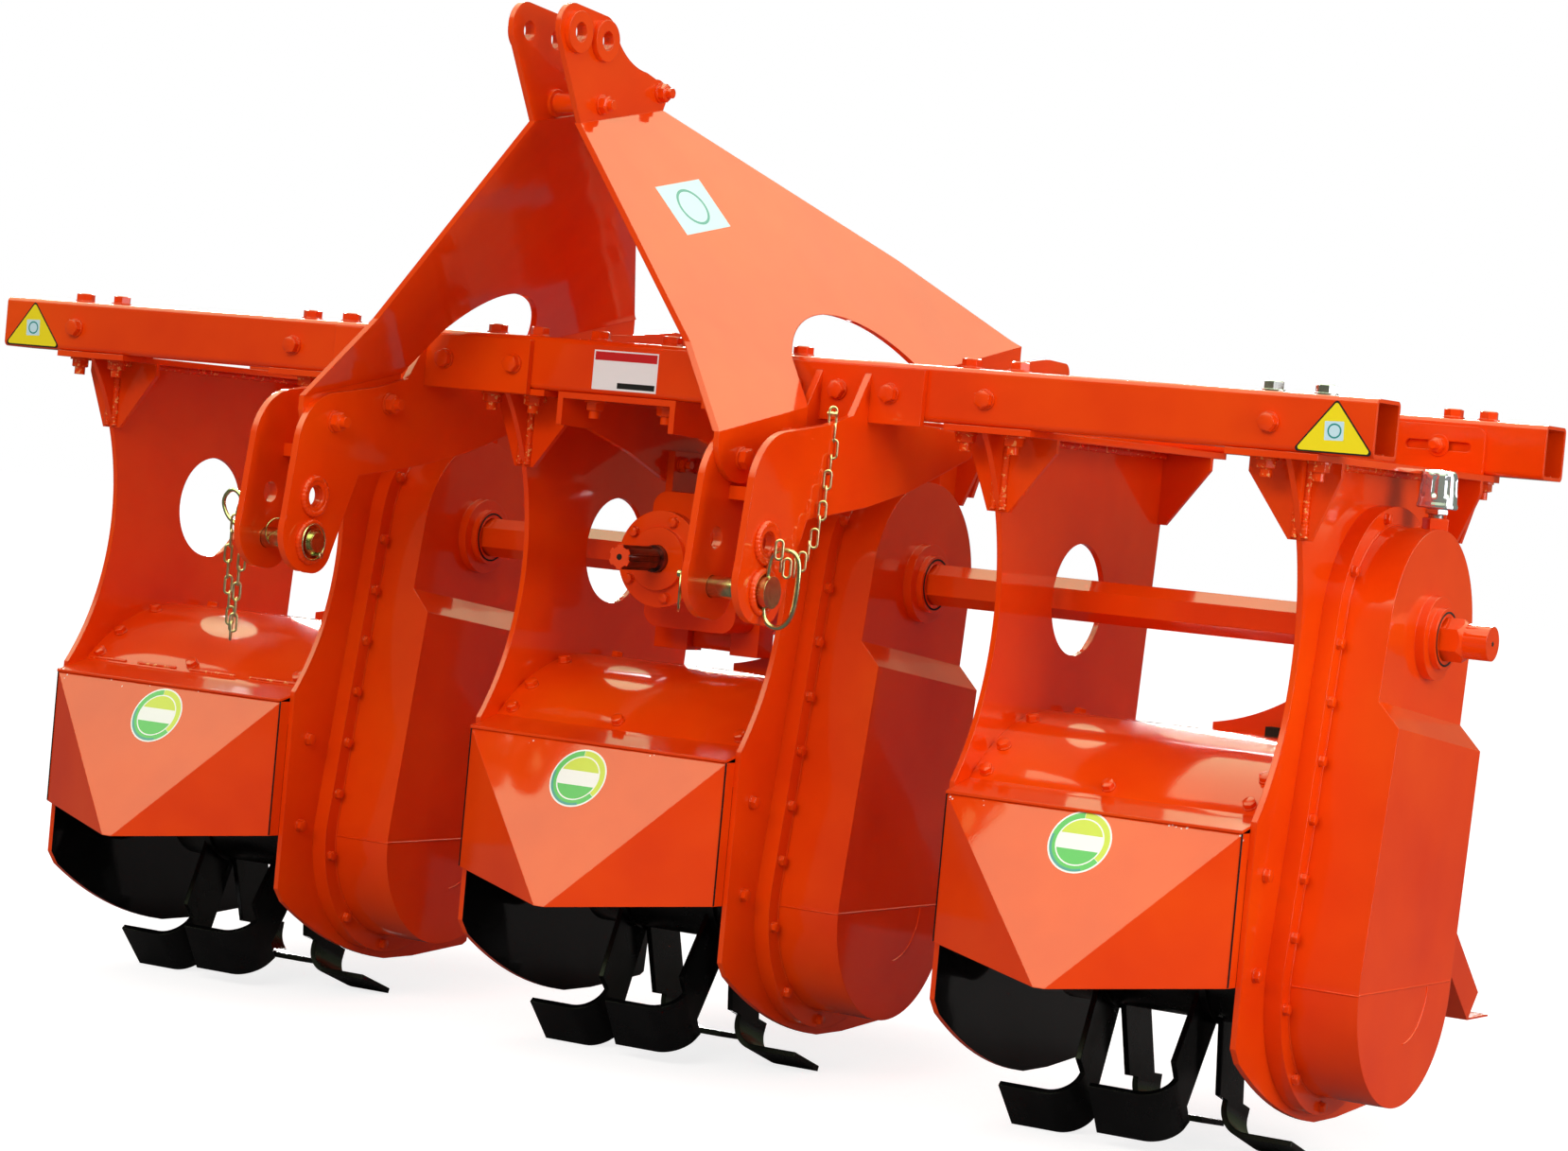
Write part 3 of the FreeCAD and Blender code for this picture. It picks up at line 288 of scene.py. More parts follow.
# the finish of a carried-over piece goes by the first start of its name that fits
FINISHES = ((("side_plate_", "hood_left", "hood_middle", "hood_right"), ENAMEL_HOOD),
            (("rotor_left", "rotor_middle", "rotor_right", "blades_"), BLACK),
            (("hitch_pin",), PIN_ZINC),
            (("pto_shaft",), STEEL),
            (("hood_buffers",), RUBBER),
            (("breathers",), CHROME),
            (("front_cover",), ENAMEL_CHIPPED),
            (("",), ENAMEL))
for name, node in nodes.items():
    finish = next(material for starts, material in FINISHES if name.startswith(starts))
    for one in node.material_slots:
        one.link = "DATA"
        one.material = finish


# ---------------------------------------- ways to make pieces
def keep(mesh, name, material, body="frame", smooth=None):
    """Makes a finished piece of a mesh that already stands in its place."""
    mesh.name = name
    piece = bpy.data.objects.new(name, mesh)
    bpy.context.scene.collection.objects.link(piece)
    if material is not None:
        mesh.materials.clear()
        mesh.materials.append(material)
    if smooth is not None:
        mesh.shade_smooth()
        mesh.set_sharp_from_angle(angle=math.radians(smooth))
    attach(piece, body)
    return piece


def evaluated_mesh(holder):
    """The plain mesh that a holder grows into; the holder goes."""
    bpy.context.view_layer.update()
    grown_up = holder.evaluated_get(bpy.context.evaluated_depsgraph_get())
    mesh = bpy.data.meshes.new_from_object(grown_up)
    bpy.data.objects.remove(holder)
    return mesh


def grown(name, seed, tree, inputs, material, smooth=35.0):
    """Runs a geometry tree on a mesh and keeps the result."""
    holder = bpy.data.objects.new(name + "_seed", seed)
    bpy.context.scene.collection.objects.link(holder)
    modifier = holder.modifiers.new("grow", "NODES")
    modifier.node_group = tree
    values = {**inputs, "Finish": material}
    for socket in tree.interface.items_tree:
        if socket.in_out == "INPUT" and socket.name in values:
            modifier[socket.identifier] = values[socket.name]
    return keep(evaluated_mesh(holder), name, material, smooth=smooth)


def new_tree(name, sizes):
    """A geometry tree whose sizes are inputs in metres, with its input node."""
    tree = bpy.data.node_groups.new(name, "GeometryNodeTree")
    face = tree.interface
    face.new_socket(name="Geometry", in_out="INPUT", socket_type="NodeSocketGeometry")
    for label, value in sizes.items():
        socket = face.new_socket(name=label, in_out="INPUT", socket_type="NodeSocketFloat")
        socket.default_value = value
    face.new_socket(name="Finish", in_out="INPUT", socket_type="NodeSocketMaterial")
    face.new_socket(name="Geometry", in_out="OUTPUT", socket_type="NodeSocketGeometry")
    return tree, add(tree, "NodeGroupInput").outputs


def close_tree(tree, given, geometry):
    plain = add(tree, "GeometryNodeRealizeInstances", {0: geometry})
    painted = add(tree, "GeometryNodeSetMaterial", {"Geometry": plain.outputs[0],
                                                    "Material": given["Finish"]})
    add(tree, "NodeGroupOutput", {0: painted.outputs[0]})
    return tree


def aimed(tree, direction, angle):
    """Rotation whose Z axis follows a direction, then turned about it."""
    turned = add(tree, "FunctionNodeAlignRotationToVector", {"Vector": direction}, axis="Z")
    spin = add(tree, "FunctionNodeAxisAngleToRotation", {"Axis": (0, 0, 1), "Angle": angle})
    return add(tree, "FunctionNodeRotateRotation", {0: turned.outputs[0], 1: spin.outputs[0]},
               rotation_space="LOCAL").outputs[0]


def fastener_tree(threaded):
    """Washer, hexagon and chamfered top on every point, turned to its aim; nuts show a thread."""
    sizes = {"Across flats": 0.024, "Hexagon height": 0.010, "Washer radius": 0.015,
             "Washer height": 0.003}
    if threaded:
        sizes.update({"Thread radius": 0.008, "Thread height": 0.010})
    tree, size = new_tree("hexagon_nut" if threaded else "hexagon_head", sizes)
    join = add(tree, "GeometryNodeJoinGeometry")

    def drum(sides, radius, height, lift, top=None):
        if top is None:
            made = add(tree, "GeometryNodeMeshCylinder", {"Vertices": sides, "Radius": radius,
                                                          "Depth": height})
            centre = maths(tree, "MULTIPLY_ADD", height, 0.5, lift)
        else:
            made = add(tree, "GeometryNodeMeshCone", {"Vertices": sides, "Radius Top": top,
                                                      "Radius Bottom": radius, "Depth": height})
            centre = lift
        offset = add(tree, "ShaderNodeCombineXYZ", {"Z": centre})
        moved = add(tree, "GeometryNodeTransform", {"Geometry": made.outputs["Mesh"],
                                                    "Translation": offset.outputs[0]})
        tree.links.new(moved.outputs[0], join.inputs[0])

    flats, hexagon, washer = size["Across flats"], size["Hexagon height"], size["Washer height"]
    drum(24, size["Washer radius"], washer, 0.0)
    drum(6, maths(tree, "DIVIDE", flats, math.sqrt(3.0)), hexagon, washer)
    top_at = maths(tree, "ADD", hexagon, washer)
    drum(20, maths(tree, "MULTIPLY", flats, 0.5), maths(tree, "MULTIPLY", hexagon, 0.1), top_at,
         maths(tree, "MULTIPLY", flats, 0.43))
    if threaded:
        drum(16, size["Thread radius"], size["Thread height"], top_at)
    aim = add(tree, "GeometryNodeInputNamedAttribute", {"Name": "aim"}, data_type="FLOAT_VECTOR")
    chance = add(tree, "FunctionNodeRandomValue", {3: math.pi, "Seed": 11})
    placed = add(tree, "GeometryNodeInstanceOnPoints", {
        "Points": size["Geometry"], "Instance": join.outputs[0],
        "Rotation": aimed(tree, aim.outputs[0], chance.outputs[1])})
    return close_tree(tree, size, placed.outputs[0])


def bead_tree():
    """A rippled weld bead along every edge path."""
    tree, size = new_tree("weld_bead", {"Bead radius": 0.0035, "Ripple length": 0.005})
    path = add(tree, "GeometryNodeMeshToCurve", {"Mesh": size["Geometry"]})
    step = maths(tree, "DIVIDE", size["Ripple length"], 3.0)
    fine = add(tree, "GeometryNodeResampleCurve", {"Curve": path.outputs[0], "Length": step},
               mode="LENGTH")
    along = add(tree, "GeometryNodeSplineParameter").outputs["Length"]
    phase = maths(tree, "MULTIPLY", maths(tree, "DIVIDE", along, size["Ripple length"]),
                  2 * math.pi)
    wander = add(tree, "ShaderNodeTexNoise", {"Scale": 60.0}).outputs[0]
    ripple = maths(tree, "MULTIPLY_ADD", maths(tree, "SINE", phase), 0.13, 0.6)
    factor = maths(tree, "MULTIPLY_ADD", wander, 0.8, ripple)
    radius = maths(tree, "MULTIPLY", factor, size["Bead radius"])
    section = add(tree, "GeometryNodeCurvePrimitiveCircle", {"Resolution": 8, "Radius": 1.0})
    bead = add(tree, "GeometryNodeCurveToMesh", {
        "Curve": fine.outputs[0], "Profile Curve": section.outputs[0], "Scale": radius,
        "Fill Caps": True})
    return close_tree(tree, size, bead.outputs[0])


def chain_tree():
    """Long links along a path, each turned a quarter from the last."""
    tree, size = new_tree("welded_chain", {"Pitch": 0.0215, "Link width": 0.0095,
                                           "Wire radius": 0.0018})
    path = add(tree, "GeometryNodeMeshToCurve", {"Mesh": size["Geometry"]})
    stops = add(tree, "GeometryNodeResampleCurve", {"Curve": path.outputs[0],
                                                    "Length": size["Pitch"]}, mode="LENGTH")
    length = maths(tree, "MULTIPLY_ADD", size["Wire radius"], 1.9, size["Pitch"])
    oblong = add(tree, "GeometryNodeCurvePrimitiveQuadrilateral", {"Width": size["Link width"],
                                                                   "Height": length})
    round_ends = add(tree, "GeometryNodeFilletCurve", {
        "Curve": oblong.outputs[0], "Radius": maths(tree, "MULTIPLY", size["Link width"], 0.49),
        "Limit Radius": True, "Count": 5}, mode="POLY")
    section = add(tree, "GeometryNodeCurvePrimitiveCircle", {"Resolution": 8,
                                                             "Radius": size["Wire radius"]})
    link = add(tree, "GeometryNodeCurveToMesh", {"Curve": round_ends.outputs[0],
                                                 "Profile Curve": section.outputs[0]})
    upright = add(tree, "GeometryNodeTransform", {"Geometry": link.outputs[0],
                                                  "Rotation": (math.pi / 2, 0, 0)})
    tangent = add(tree, "GeometryNodeInputTangent").outputs[0]
    index = add(tree, "GeometryNodeInputIndex").outputs[0]
    quarter = maths(tree, "MULTIPLY_ADD", maths(tree, "MODULO", index, 2.0), math.pi / 2, 0.6)
    points = add(tree, "GeometryNodeCurveToPoints", {"Curve": stops.outputs[0]}, mode="EVALUATED")
    placed = add(tree, "GeometryNodeInstanceOnPoints", {
        "Points": points.outputs[0], "Instance": upright.outputs[0],
        "Rotation": aimed(tree, tangent, quarter)})
    return close_tree(tree, size, placed.outputs[0])


HEAD = fastener_tree(False)
NUT = fastener_tree(True)
BEAD = bead_tree()
CHAIN = chain_tree()
# size of hexagon: across flats, head height, washer radius, washer height, all in millimetres
M16 = (24.0, 10.0, 15.5, 3.0)
M14 = (22.0, 9.0, 14.0, 2.8)
M12_WIDE = (19.0, 9.0, 15.5, 2.5)
M12 = (19.0, 8.0, 12.0, 2.5)
M10 = (16.0, 6.5, 10.0, 2.0)
M8 = (13.0, 5.5, 8.0, 1.6)
BEAD_RIPPLE = 5.0
UP, DOWN = (0, 0, 1), (0, 0, -1)
LEFTWARD, RIGHTWARD = (-1, 0, 0), (1, 0, 0)
FORWARD = (0, -1, 0)


def fasteners(name, places, size, material=ENAMEL, thread=None):
    """Bolt heads, or nuts with a thread end of (radius, length), at (point, aim) pairs."""
    seed = bpy.data.meshes.new(name + "_points")
    seed.from_pydata([mm(*point) for point, _ in places], [], [])
    aims = seed.attributes.new("aim", "FLOAT_VECTOR", "POINT")
    for i, (_, aim) in enumerate(places):
        aims.data[i].vector = Vector(aim).normalized()
    flats, height, washer, sheet = size
    inputs = {"Across flats": flats * MM, "Hexagon height": height * MM,
              "Washer radius": washer * MM, "Washer height": sheet * MM}
    if thread:
        inputs.update({"Thread radius": thread[0] * MM, "Thread height": thread[1] * MM})
    return grown(name, seed, NUT if thread else HEAD, inputs, material)


def path_mesh(name, paths):
    """Open paths, each a list of points in millimetres, as mesh edges."""
    points, edges = [], []
    for path in paths:
        start = len(points)
        points += [mm(*p) for p in path]
        edges += [(start + i, start + i + 1) for i in range(len(path) - 1)]
    mesh = bpy.data.meshes.new(name + "_path")
    mesh.from_pydata(points, edges, [])
    return mesh


def welds(name, paths, radius, material=ENAMEL):
    return grown(name, path_mesh(name, paths), BEAD,
                 {"Bead radius": radius * MM, "Ripple length": BEAD_RIPPLE * MM}, material, 60.0)


def chain(name, path):
    return grown(name, path_mesh(name, [path]), CHAIN, {}, CHAIN_ZINC, 60.0)


def wire(name, points, radius, material, closed=False):
    """Bent round bar through control points, in millimetres."""
    curve = bpy.data.curves.new(name, "CURVE")
    curve.dimensions = "3D"
    curve.bevel_depth = radius * MM
    curve.bevel_resolution = 3
    curve.resolution_u = 10
    curve.use_fill_caps = True
    spline = curve.splines.new("NURBS")
    spline.points.add(len(points) - 1)
    for control, point in zip(spline.points, points):
        control.co = (*mm(*point), 1.0)
    spline.order_u = 3
    spline.use_cyclic_u = closed
    spline.use_endpoint_u = not closed
    holder = bpy.data.objects.new(name + "_curve", curve)
    bpy.context.scene.collection.objects.link(holder)
    return keep(evaluated_mesh(holder), name, material, smooth=60.0)


def lathe(name, profile, origin, axis, material, body="frame", sides=48, smooth=35.0, flute=None,
          hollow=False):
    """Turned piece: a profile of (radius, height) in millimetres about an axis through origin.

    A flute function of turn and height scales the radius; a hollow profile closes on itself.
    """
    work = bmesh.new()
    rings = []
    for radius, height in profile:
        ring = []
        for i in range(sides):
            turn = 2 * math.pi * i / sides
            r = radius * (flute(turn, height) if flute else 1.0)
            ring.append(work.verts.new((r * math.cos(turn), r * math.sin(turn), height)))
        rings.append(ring)
    for low, high in zip(rings, rings[1:] + rings[:1] if hollow else rings[1:]):
        for i in range(sides):
            j = (i + 1) % sides
            work.faces.new((low[i], low[j], high[j], high[i]))
    if not hollow:
        work.faces.new(rings[0][::-1])
        work.faces.new(rings[-1])
    work.transform(Matrix.Diagonal((MM, MM, MM, 1.0)))
    turn = Vector(UP).rotation_difference(Vector(axis)).to_matrix().to_4x4()
    work.transform(Matrix.Translation(mm(*origin)) @ turn)
    bmesh.ops.recalc_face_normals(work, faces=work.faces)
    mesh = bpy.data.meshes.new(name)
    work.to_mesh(mesh)
    work.free()
    return keep(mesh, name, material, body, smooth)


def block(name, low, high, bevel, material):
    """Cast or sawn block with rounded edges, between two corners in millimetres."""
    work = bmesh.new()
    bmesh.ops.create_cube(work, size=1.0)
    centre, size = (mm(*low) + mm(*high)) / 2, mm(*high) - mm(*low)
    work.transform(Matrix.Translation(centre) @ Matrix.Diagonal((*size, 1.0)))
    bmesh.ops.bevel(work, geom=work.edges[:], offset=bevel * MM, segments=3, profile=0.5,
                    affect="EDGES")
    mesh = bpy.data.meshes.new(name)
    work.to_mesh(mesh)
    work.free()
    return keep(mesh, name, material, smooth=40.0)


def patch(name, outlines, origin, across, up):
    """Vinyl patches on a flat face, in millimetres about origin.

    The outlines are (colour, points, layer), and each layer adds one thickness.
    """
    lift, thickness = 0.05, 0.25
    across = Vector(across).normalized()
    up = Vector(up).normalized()
    out = across.cross(up).normalized()
    base = mm(*origin)
    work = bmesh.new()
    colours = []

    def corners(points, height):
        return [work.verts.new(base + (across * x + up * y + out * height) * MM) for x, y in points]

    for colour, points, layer in outlines:
        if colour not in colours:
            colours.append(colour)
        low = corners(points, lift)
        high = corners(points, thickness * (1 + layer))
        faces = [work.faces.new(high), work.faces.new(low[::-1])]
        for i in range(len(points)):
            j = (i + 1) % len(points)
            faces.append(work.faces.new((low[i], low[j], high[j], high[i])))
        for face in faces:
            face.material_index = colours.index(colour)
    mesh = bpy.data.meshes.new(name)
    work.to_mesh(mesh)
    work.free()
    for colour in colours:
        mesh.materials.append(VINYL[colour])
    return keep(mesh, name, None)


# ---------------------------------------- outlines and paths
def round_point(radius, degrees):
    return radius * math.cos(math.radians(degrees)), radius * math.sin(math.radians(degrees))


def disc(radius):
    return [round_point(radius, 360 * i / 48) for i in range(48)]


def rectangle(x0, y0, x1, y1):
    return [(x0, y0), (x1, y0), (x1, y1), (x0, y1)]


def rounded(corners, radius):
    """Outline whose corners are arcs of one radius."""
    steps = 5
    outline = []
    for i, corner in enumerate(corners):
        here = Vector(corner)
        before = (Vector(corners[i - 1]) - here).normalized()
        after = (Vector(corners[(i + 1) % len(corners)]) - here).normalized()
        half = before.angle(after) / 2
        centre = here + (before + after).normalized() * radius / math.sin(half)
        first = here + before * radius / math.tan(half) - centre
        last = here + after * radius / math.tan(half) - centre
        for k in range(steps + 1):
            outline.append(tuple(centre + first.lerp(last, k / steps).normalized() * radius))
    return outline


def cap_of_disc(radius, cut, side):
    """The part of a disc beyond a straight cut, above (1) or below (-1) the middle."""
    sides = 20
    first = math.asin(cut / radius)
    turns = [first + (math.pi - 2 * first) * i / sides for i in range(sides + 1)]
    points = [(radius * math.cos(a), side * radius * math.sin(a)) for a in turns]
    return points if side > 0 else points[::-1]


def arc_band(inner, outer, start, end):
    """The part of a ring between two bearings in degrees."""
    sides = 24
    turns = [start + (end - start) * i / sides for i in range(sides + 1)]
    return ([round_point(outer, a) for a in turns]
            + [round_point(inner, a) for a in reversed(turns)])


def hoop(centre, radius, first, second):
    """Control points of a round hoop spanned by two directions."""
    count = 12
    first, second = Vector(first).normalized(), Vector(second).normalized()
    reach = radius / math.cos(math.pi / count) ** 2
    return [tuple(Vector(centre) + first * reach * math.cos(2 * math.pi * i / count)
                  + second * reach * math.sin(2 * math.pi * i / count)) for i in range(count)]


def around(x, y, z, radius):
    """Closed path about an axis along X."""
    sides = 28
    turns = [2 * math.pi * i / sides for i in range(sides + 1)]
    return [(x, y + radius * math.cos(a), z + radius * math.sin(a)) for a in turns]


def about_rotor(x, radius, degrees):
    """Point about the rotors' axis, at a bearing in degrees from rearwards to up."""
    y, z = round_point(radius, degrees)
    return x, ROTOR[0] + y, ROTOR[1] + z


# ---------------------------------------- bolted joints
plate_middles = [unit_x + edge for unit_x in UNITS.values()
                 for edge in (PLATE_LEFT + PLATE / 2, PLATE_RIGHT - PLATE / 2)]
FOOT_BOLT_HALVES = {"front": 36, "rear": 26}
REAR_FOOT_BOLT_Y = 582.0
front_pairs = [(x + side * FOOT_BOLT_HALVES["front"], BAR_MIDDLES["front"])
               for x in plate_middles for side in (-1, 1)]
rear_pairs = [(x + side * FOOT_BOLT_HALVES["rear"], REAR_FOOT_BOLT_Y)
              for x in plate_middles for side in (-1, 1)]
bar_bolts = front_pairs + rear_pairs
# the two at the right end of the front bar are unpainted
bright_bolts = front_pairs[-2:]
fasteners("bar_bolt_heads",
          [((x, y, BAR_TOP), UP) for x, y in bar_bolts if (x, y) not in bright_bolts], M16)
fasteners("bright_bolt_heads", [((x, y, BAR_TOP), UP) for x, y in bright_bolts], M16, BRIGHT_ZINC)
under = BAR_BOTTOM - FOOT_PLATE
fasteners("bar_bolt_nuts", [((x, y, under), DOWN) for x, y in bar_bolts], M16, ENAMEL_SPATTER_GLINTS,
          thread=(8.0, 12.0))
HANGER_BOLT_X = 60
hanger_bolts = [(side * HANGER_BOLT_X, y) for side in (-1, 1) for y in BAR_MIDDLES.values()]
fasteners("hanger_nuts", [((x, y, under), DOWN) for x, y in hanger_bolts], M16,
          thread=(8.0, 12.0))
fasteners("hanger_heads", [((x, y, BAR_TOP), UP) for x, y in hanger_bolts], M16)

PAD_FACE, PAD_BOLT_Z = BAR_FRONT - 10.0, 256.0
PAD_BOLTS = (-440, -360, -290, -172, 172, 290, 360, 440)
FACE_BOLT_Z = 258.0
FACE_BOLTS = (-990, -572, 579, 986)
fasteners("pad_bolts", [((x, PAD_FACE, PAD_BOLT_Z), FORWARD) for x in PAD_BOLTS], M14)
fasteners("bar_face_bolts", [((x, BAR_FRONT, FACE_BOLT_Z), FORWARD) for x in FACE_BOLTS], M14)
FOOT_BOLTS = [(-252.0, 152.0), (-132.0, 184.0)]
MAST_BOLTS = [(-206.0, 608.0), (-66.0, 642.0)]
for side, word in ((-1, "left"), (1, "right")):
    out, back = (side, 0, 0), (-side, 0, 0)
    fasteners("leg_foot_heads_" + word,
              [((side * LEG_FOOT_OUTER, y, z), out) for y, z in FOOT_BOLTS], M16)
    fasteners("leg_foot_nuts_" + word,
              [((side * HITCH_INNER, y, z), back) for y, z in FOOT_BOLTS], M16, thread=(8.0, 10.0))
    # heads on the left ear and nuts on the right one
    fasteners("mast_bolts_" + word, [((side * EAR_OUTER, y, z), out) for y, z in MAST_BOLTS], M14,
              thread=None if side < 0 else (7.0, 9.0))

COVER_BOLTS = [(21.0, -316.0), (18.0, -444.0)]
HOOD_BOLT_ROWS = (-178, 206)
HOOD_BOLT_BEARINGS = (-42, -32, -16, 10, 26)
HOOD_MIDDLE_BOLT = (3, -42)
for name, unit_x in UNITS.items():
    left, right = unit_x + PLATE_LEFT, unit_x + PLATE_RIGHT
    fasteners("cover_bolts_" + name,
              [((left, y, z), LEFTWARD) for y, z in COVER_BOLTS]
              + [((right, y, z), RIGHTWARD) for y, z in COVER_BOLTS], M10)
    spots = [(x, degrees) for degrees in HOOD_BOLT_BEARINGS for x in HOOD_BOLT_ROWS]
    places = []
    for x, degrees in spots + [HOOD_MIDDLE_BOLT]:
        a = math.radians(degrees)
        out = (0, math.sin(a), math.cos(a))
        foot = (unit_x + x, ROTOR[0] + HOOD_R * out[1], ROTOR[1] + HOOD_R * out[2])
        places.append((foot, out))
    fasteners("hood_bolts_" + name, places, M10)

# ---------------------------------------- chain cases
LEAN = math.atan2(SHAFT_Y - ROTOR[0], -ROTOR[1])
CENTRES = math.hypot(SHAFT_Y - ROTOR[0], ROTOR[1])


def case_path(offset, side_count, end_count):
    """Points (y, z) outside a case's wall: front side, lower end, rear side, upper end."""
    lowest_turn = -math.pi / 2 - LEAN
    quarter = math.pi / 2 + math.asin((CASE_LOWER_R - CASE_UPPER_R) / CENTRES)
    front, rear = lowest_turn - quarter, lowest_turn + quarter

    def spot(share, turn):
        """A point on the upper end's arc at share 0, and on the lower end's at share 1."""
        radius = CASE_UPPER_R + (CASE_LOWER_R - CASE_UPPER_R) * share + offset
        y = SHAFT_Y + (ROTOR[0] - SHAFT_Y) * share
        return y + radius * math.cos(turn), ROTOR[1] * share + radius * math.sin(turn)

    def shares(count):
        return [(i + 0.5) / count for i in range(count)]

    points = [spot(t, front) for t in shares(side_count)]
    points += [spot(1, front + (rear - front) * t) for t in shares(end_count)]
    points += [spot(1 - t, rear) for t in shares(side_count)]
    points += [spot(0, rear + (front + 2 * math.pi - rear) * t) for t in shares(end_count - 1)]
    return points


BEARING_SEAT_R = 74
for name, unit_x in UNITS.items():
    face = unit_x + PLATE_RIGHT + CASE_RIM_FACE
    fasteners("case_bolts_" + name, [((face, y, z), RIGHTWARD) for y, z in case_path(13.0, 6, 5)],
              M8)
    loop = case_path(0.8, 40, 40)
    welds("case_seam_" + name, [[(face + 0.2, y, z) for y, z in loop + loop[:1]]], 1.2)
    # the round bottom is a pressing of its own, butt welded level with the rotor's axis, and the
    # edge of the bearing seat shows below the axis as an arc
    low_face = unit_x + PLATE_RIGHT + CASE_LOWER_DEPTH
    front, back = ROTOR[0] - CASE_LOWER_R, ROTOR[0] + CASE_LOWER_R
    butt = [(x, front, ROTOR[1]) for x in (face + 2, (face + low_face) / 2, low_face)]
    butt += [(low_face, y, ROTOR[1] + 1) for y in (front + 2, ROTOR[0], back - 2)]
    seat = [about_rotor(low_face, BEARING_SEAT_R, a) for a in range(-85, 0, 6)]
    welds("case_butt_weld_" + name, [butt, seat], 1.3)

# ---------------------------------------- gearbox and bearings
FLANGE_FACE = 103.0
FLANGE_BOLT_R = 57
FLANGE_BOLT_BEARINGS = (-2, 70, 142, 214, 286)
ring = [round_point(FLANGE_BOLT_R, a) for a in FLANGE_BOLT_BEARINGS]
fasteners("input_flange_bolts", [((x, FLANGE_FACE, z), FORWARD) for x, z in ring], M8)
LUG_OUTER, LUG_INNER, LUG_Z = 98, 77, 136.0
lugs = [(side, y) for side in (-1, 1) for y in (258.0, 302.0)]
fasteners("lug_bolts", [((side * LUG_OUTER, y, LUG_Z), (side, 0, 0)) for side, y in lugs], M12)
fasteners("lug_nuts", [((side * LUG_INNER, y, LUG_Z), (-side, 0, 0)) for side, y in lugs], M12,
          thread=(6.0, 8.0))
BEARING_DEPTH = 10
BEARING_BOLT_R = 53
for name, unit_x in UNITS.items():
    x = unit_x + PLATE_LEFT - BEARING_DEPTH
    fasteners("bearing_bolts_" + name, [(about_rotor(x, BEARING_BOLT_R, a), LEFTWARD)
                                        for a in (45, 135, 225, 315)], M10)
    slot = (unit_x + PLATE_RIGHT - 33, REAR_BAR_FRONT - PLATE, BAR_TOP - 39)
    fasteners("slot_bolt_" + name, [(slot, FORWARD)], M12_WIDE, thread=(6.0, 12.0))

# ---------------------------------------- breathers
# distance from the right side plate, and y
BREATHER = (67, 312)
GRIPS = 9


def flutes(turn, height):
    """Nine finger grips around a cap, closed above and below."""
    groove = max(0.0, math.cos(GRIPS * turn)) ** 0.6
    depth = min(1.0, max(0.0, (height - 14) / 6.0)) * min(1.0, max(0.0, (44 - height) / 5.0))
    return 1.0 - 0.09 * groove * depth


for name, unit_x in UNITS.items():
    x, y = unit_x + PLATE_RIGHT + BREATHER[0], BREATHER[1]
    skirt = [(15, 0), (25.5, 0), (27.5, 1.5), (27.5, 5), (26, 8)]
    wall = [(26 - i * 0.12, 9 + i * 2.2) for i in range(16)]
    dome = [(23.6, 45), (22.6, 48), (20, 50.2), (13, 51.4), (5, 51.8)]
    cap = lathe("breather_cap_" + name, skirt + wall + dome, (x, y, 170), UP, CHROME, sides=180,
                smooth=30, flute=flutes)
    if name == "left":
        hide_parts("breathers")
    lathe("breather_nut_" + name, [(15, 0), (16, 1), (16, 7), (15, 8)], (x, y, 162), UP,
          BRIGHT_ZINC, sides=6, smooth=20)
    thread = [(10.5 if i % 2 else 9.6, i * 0.8) for i in range(8)]
    lathe("breather_thread_" + name, thread, (x, y, 156.4), UP, BRIGHT_ZINC, sides=24)
    lathe("breather_block_" + name, [(17, 0), (18.6, 1.5), (18.6, 26), (17, 27.5)], (x, y, 130),
          UP, ENAMEL, sides=4, smooth=20)

# ---------------------------------------- shafts
# each rotor's drum, which carries both blade flanges
HUB = [(30, 0), (77, 0), (80, 3), (80, 321), (77, 324), (30, 324)]
HUB_START = -120
for name, unit_x in UNITS.items():
    lathe("rotor_hub_" + name, HUB, (unit_x + HUB_START, ROTOR[0], ROTOR[1]), RIGHTWARD, BLACK,
          body="rotor_" + name, sides=72)

# oil seals between the bosses and the cross shaft, drawn as thin black rings: their black is
# painted shade of the crease around the shaft
BOSS_LENGTH = 22
for name, unit_x in UNITS.items():
    x = unit_x + PLATE_RIGHT + CASE_UPPER_DEPTH + BOSS_LENGTH
    lathe("shaft_seal_shade_" + name, [(34, 0), (34, 0.8), (36.4, 0.8), (36.4, 0)],
          (x, SHAFT_Y, 0), RIGHTWARD, RUBBER, sides=60, hollow=True)

# sump between the gearbox feet, and black discs on the ends of both shafts: painted shade of their
# drilled centres
block("gearbox_sump", (-37, 264, -128), (41, 294, -96), 7, ENAMEL)
lathe("drive_shaft_centre_shade", [(0.6, 0), (3.6, 0.2), (4.4, 0.6), (4.4, 0.9), (0.6, 0.9)],
      (0, 0.7, 0), FORWARD, RUBBER, sides=24)
shaft_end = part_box("cross_shaft")[1][0] / MM
lathe("cross_shaft_centre_shade", [(0.6, 0), (3.2, 0), (3.2, 0.5), (0.6, 0.5)], (shaft_end, SHAFT_Y, 0),
      RIGHTWARD, RUBBER, sides=24)

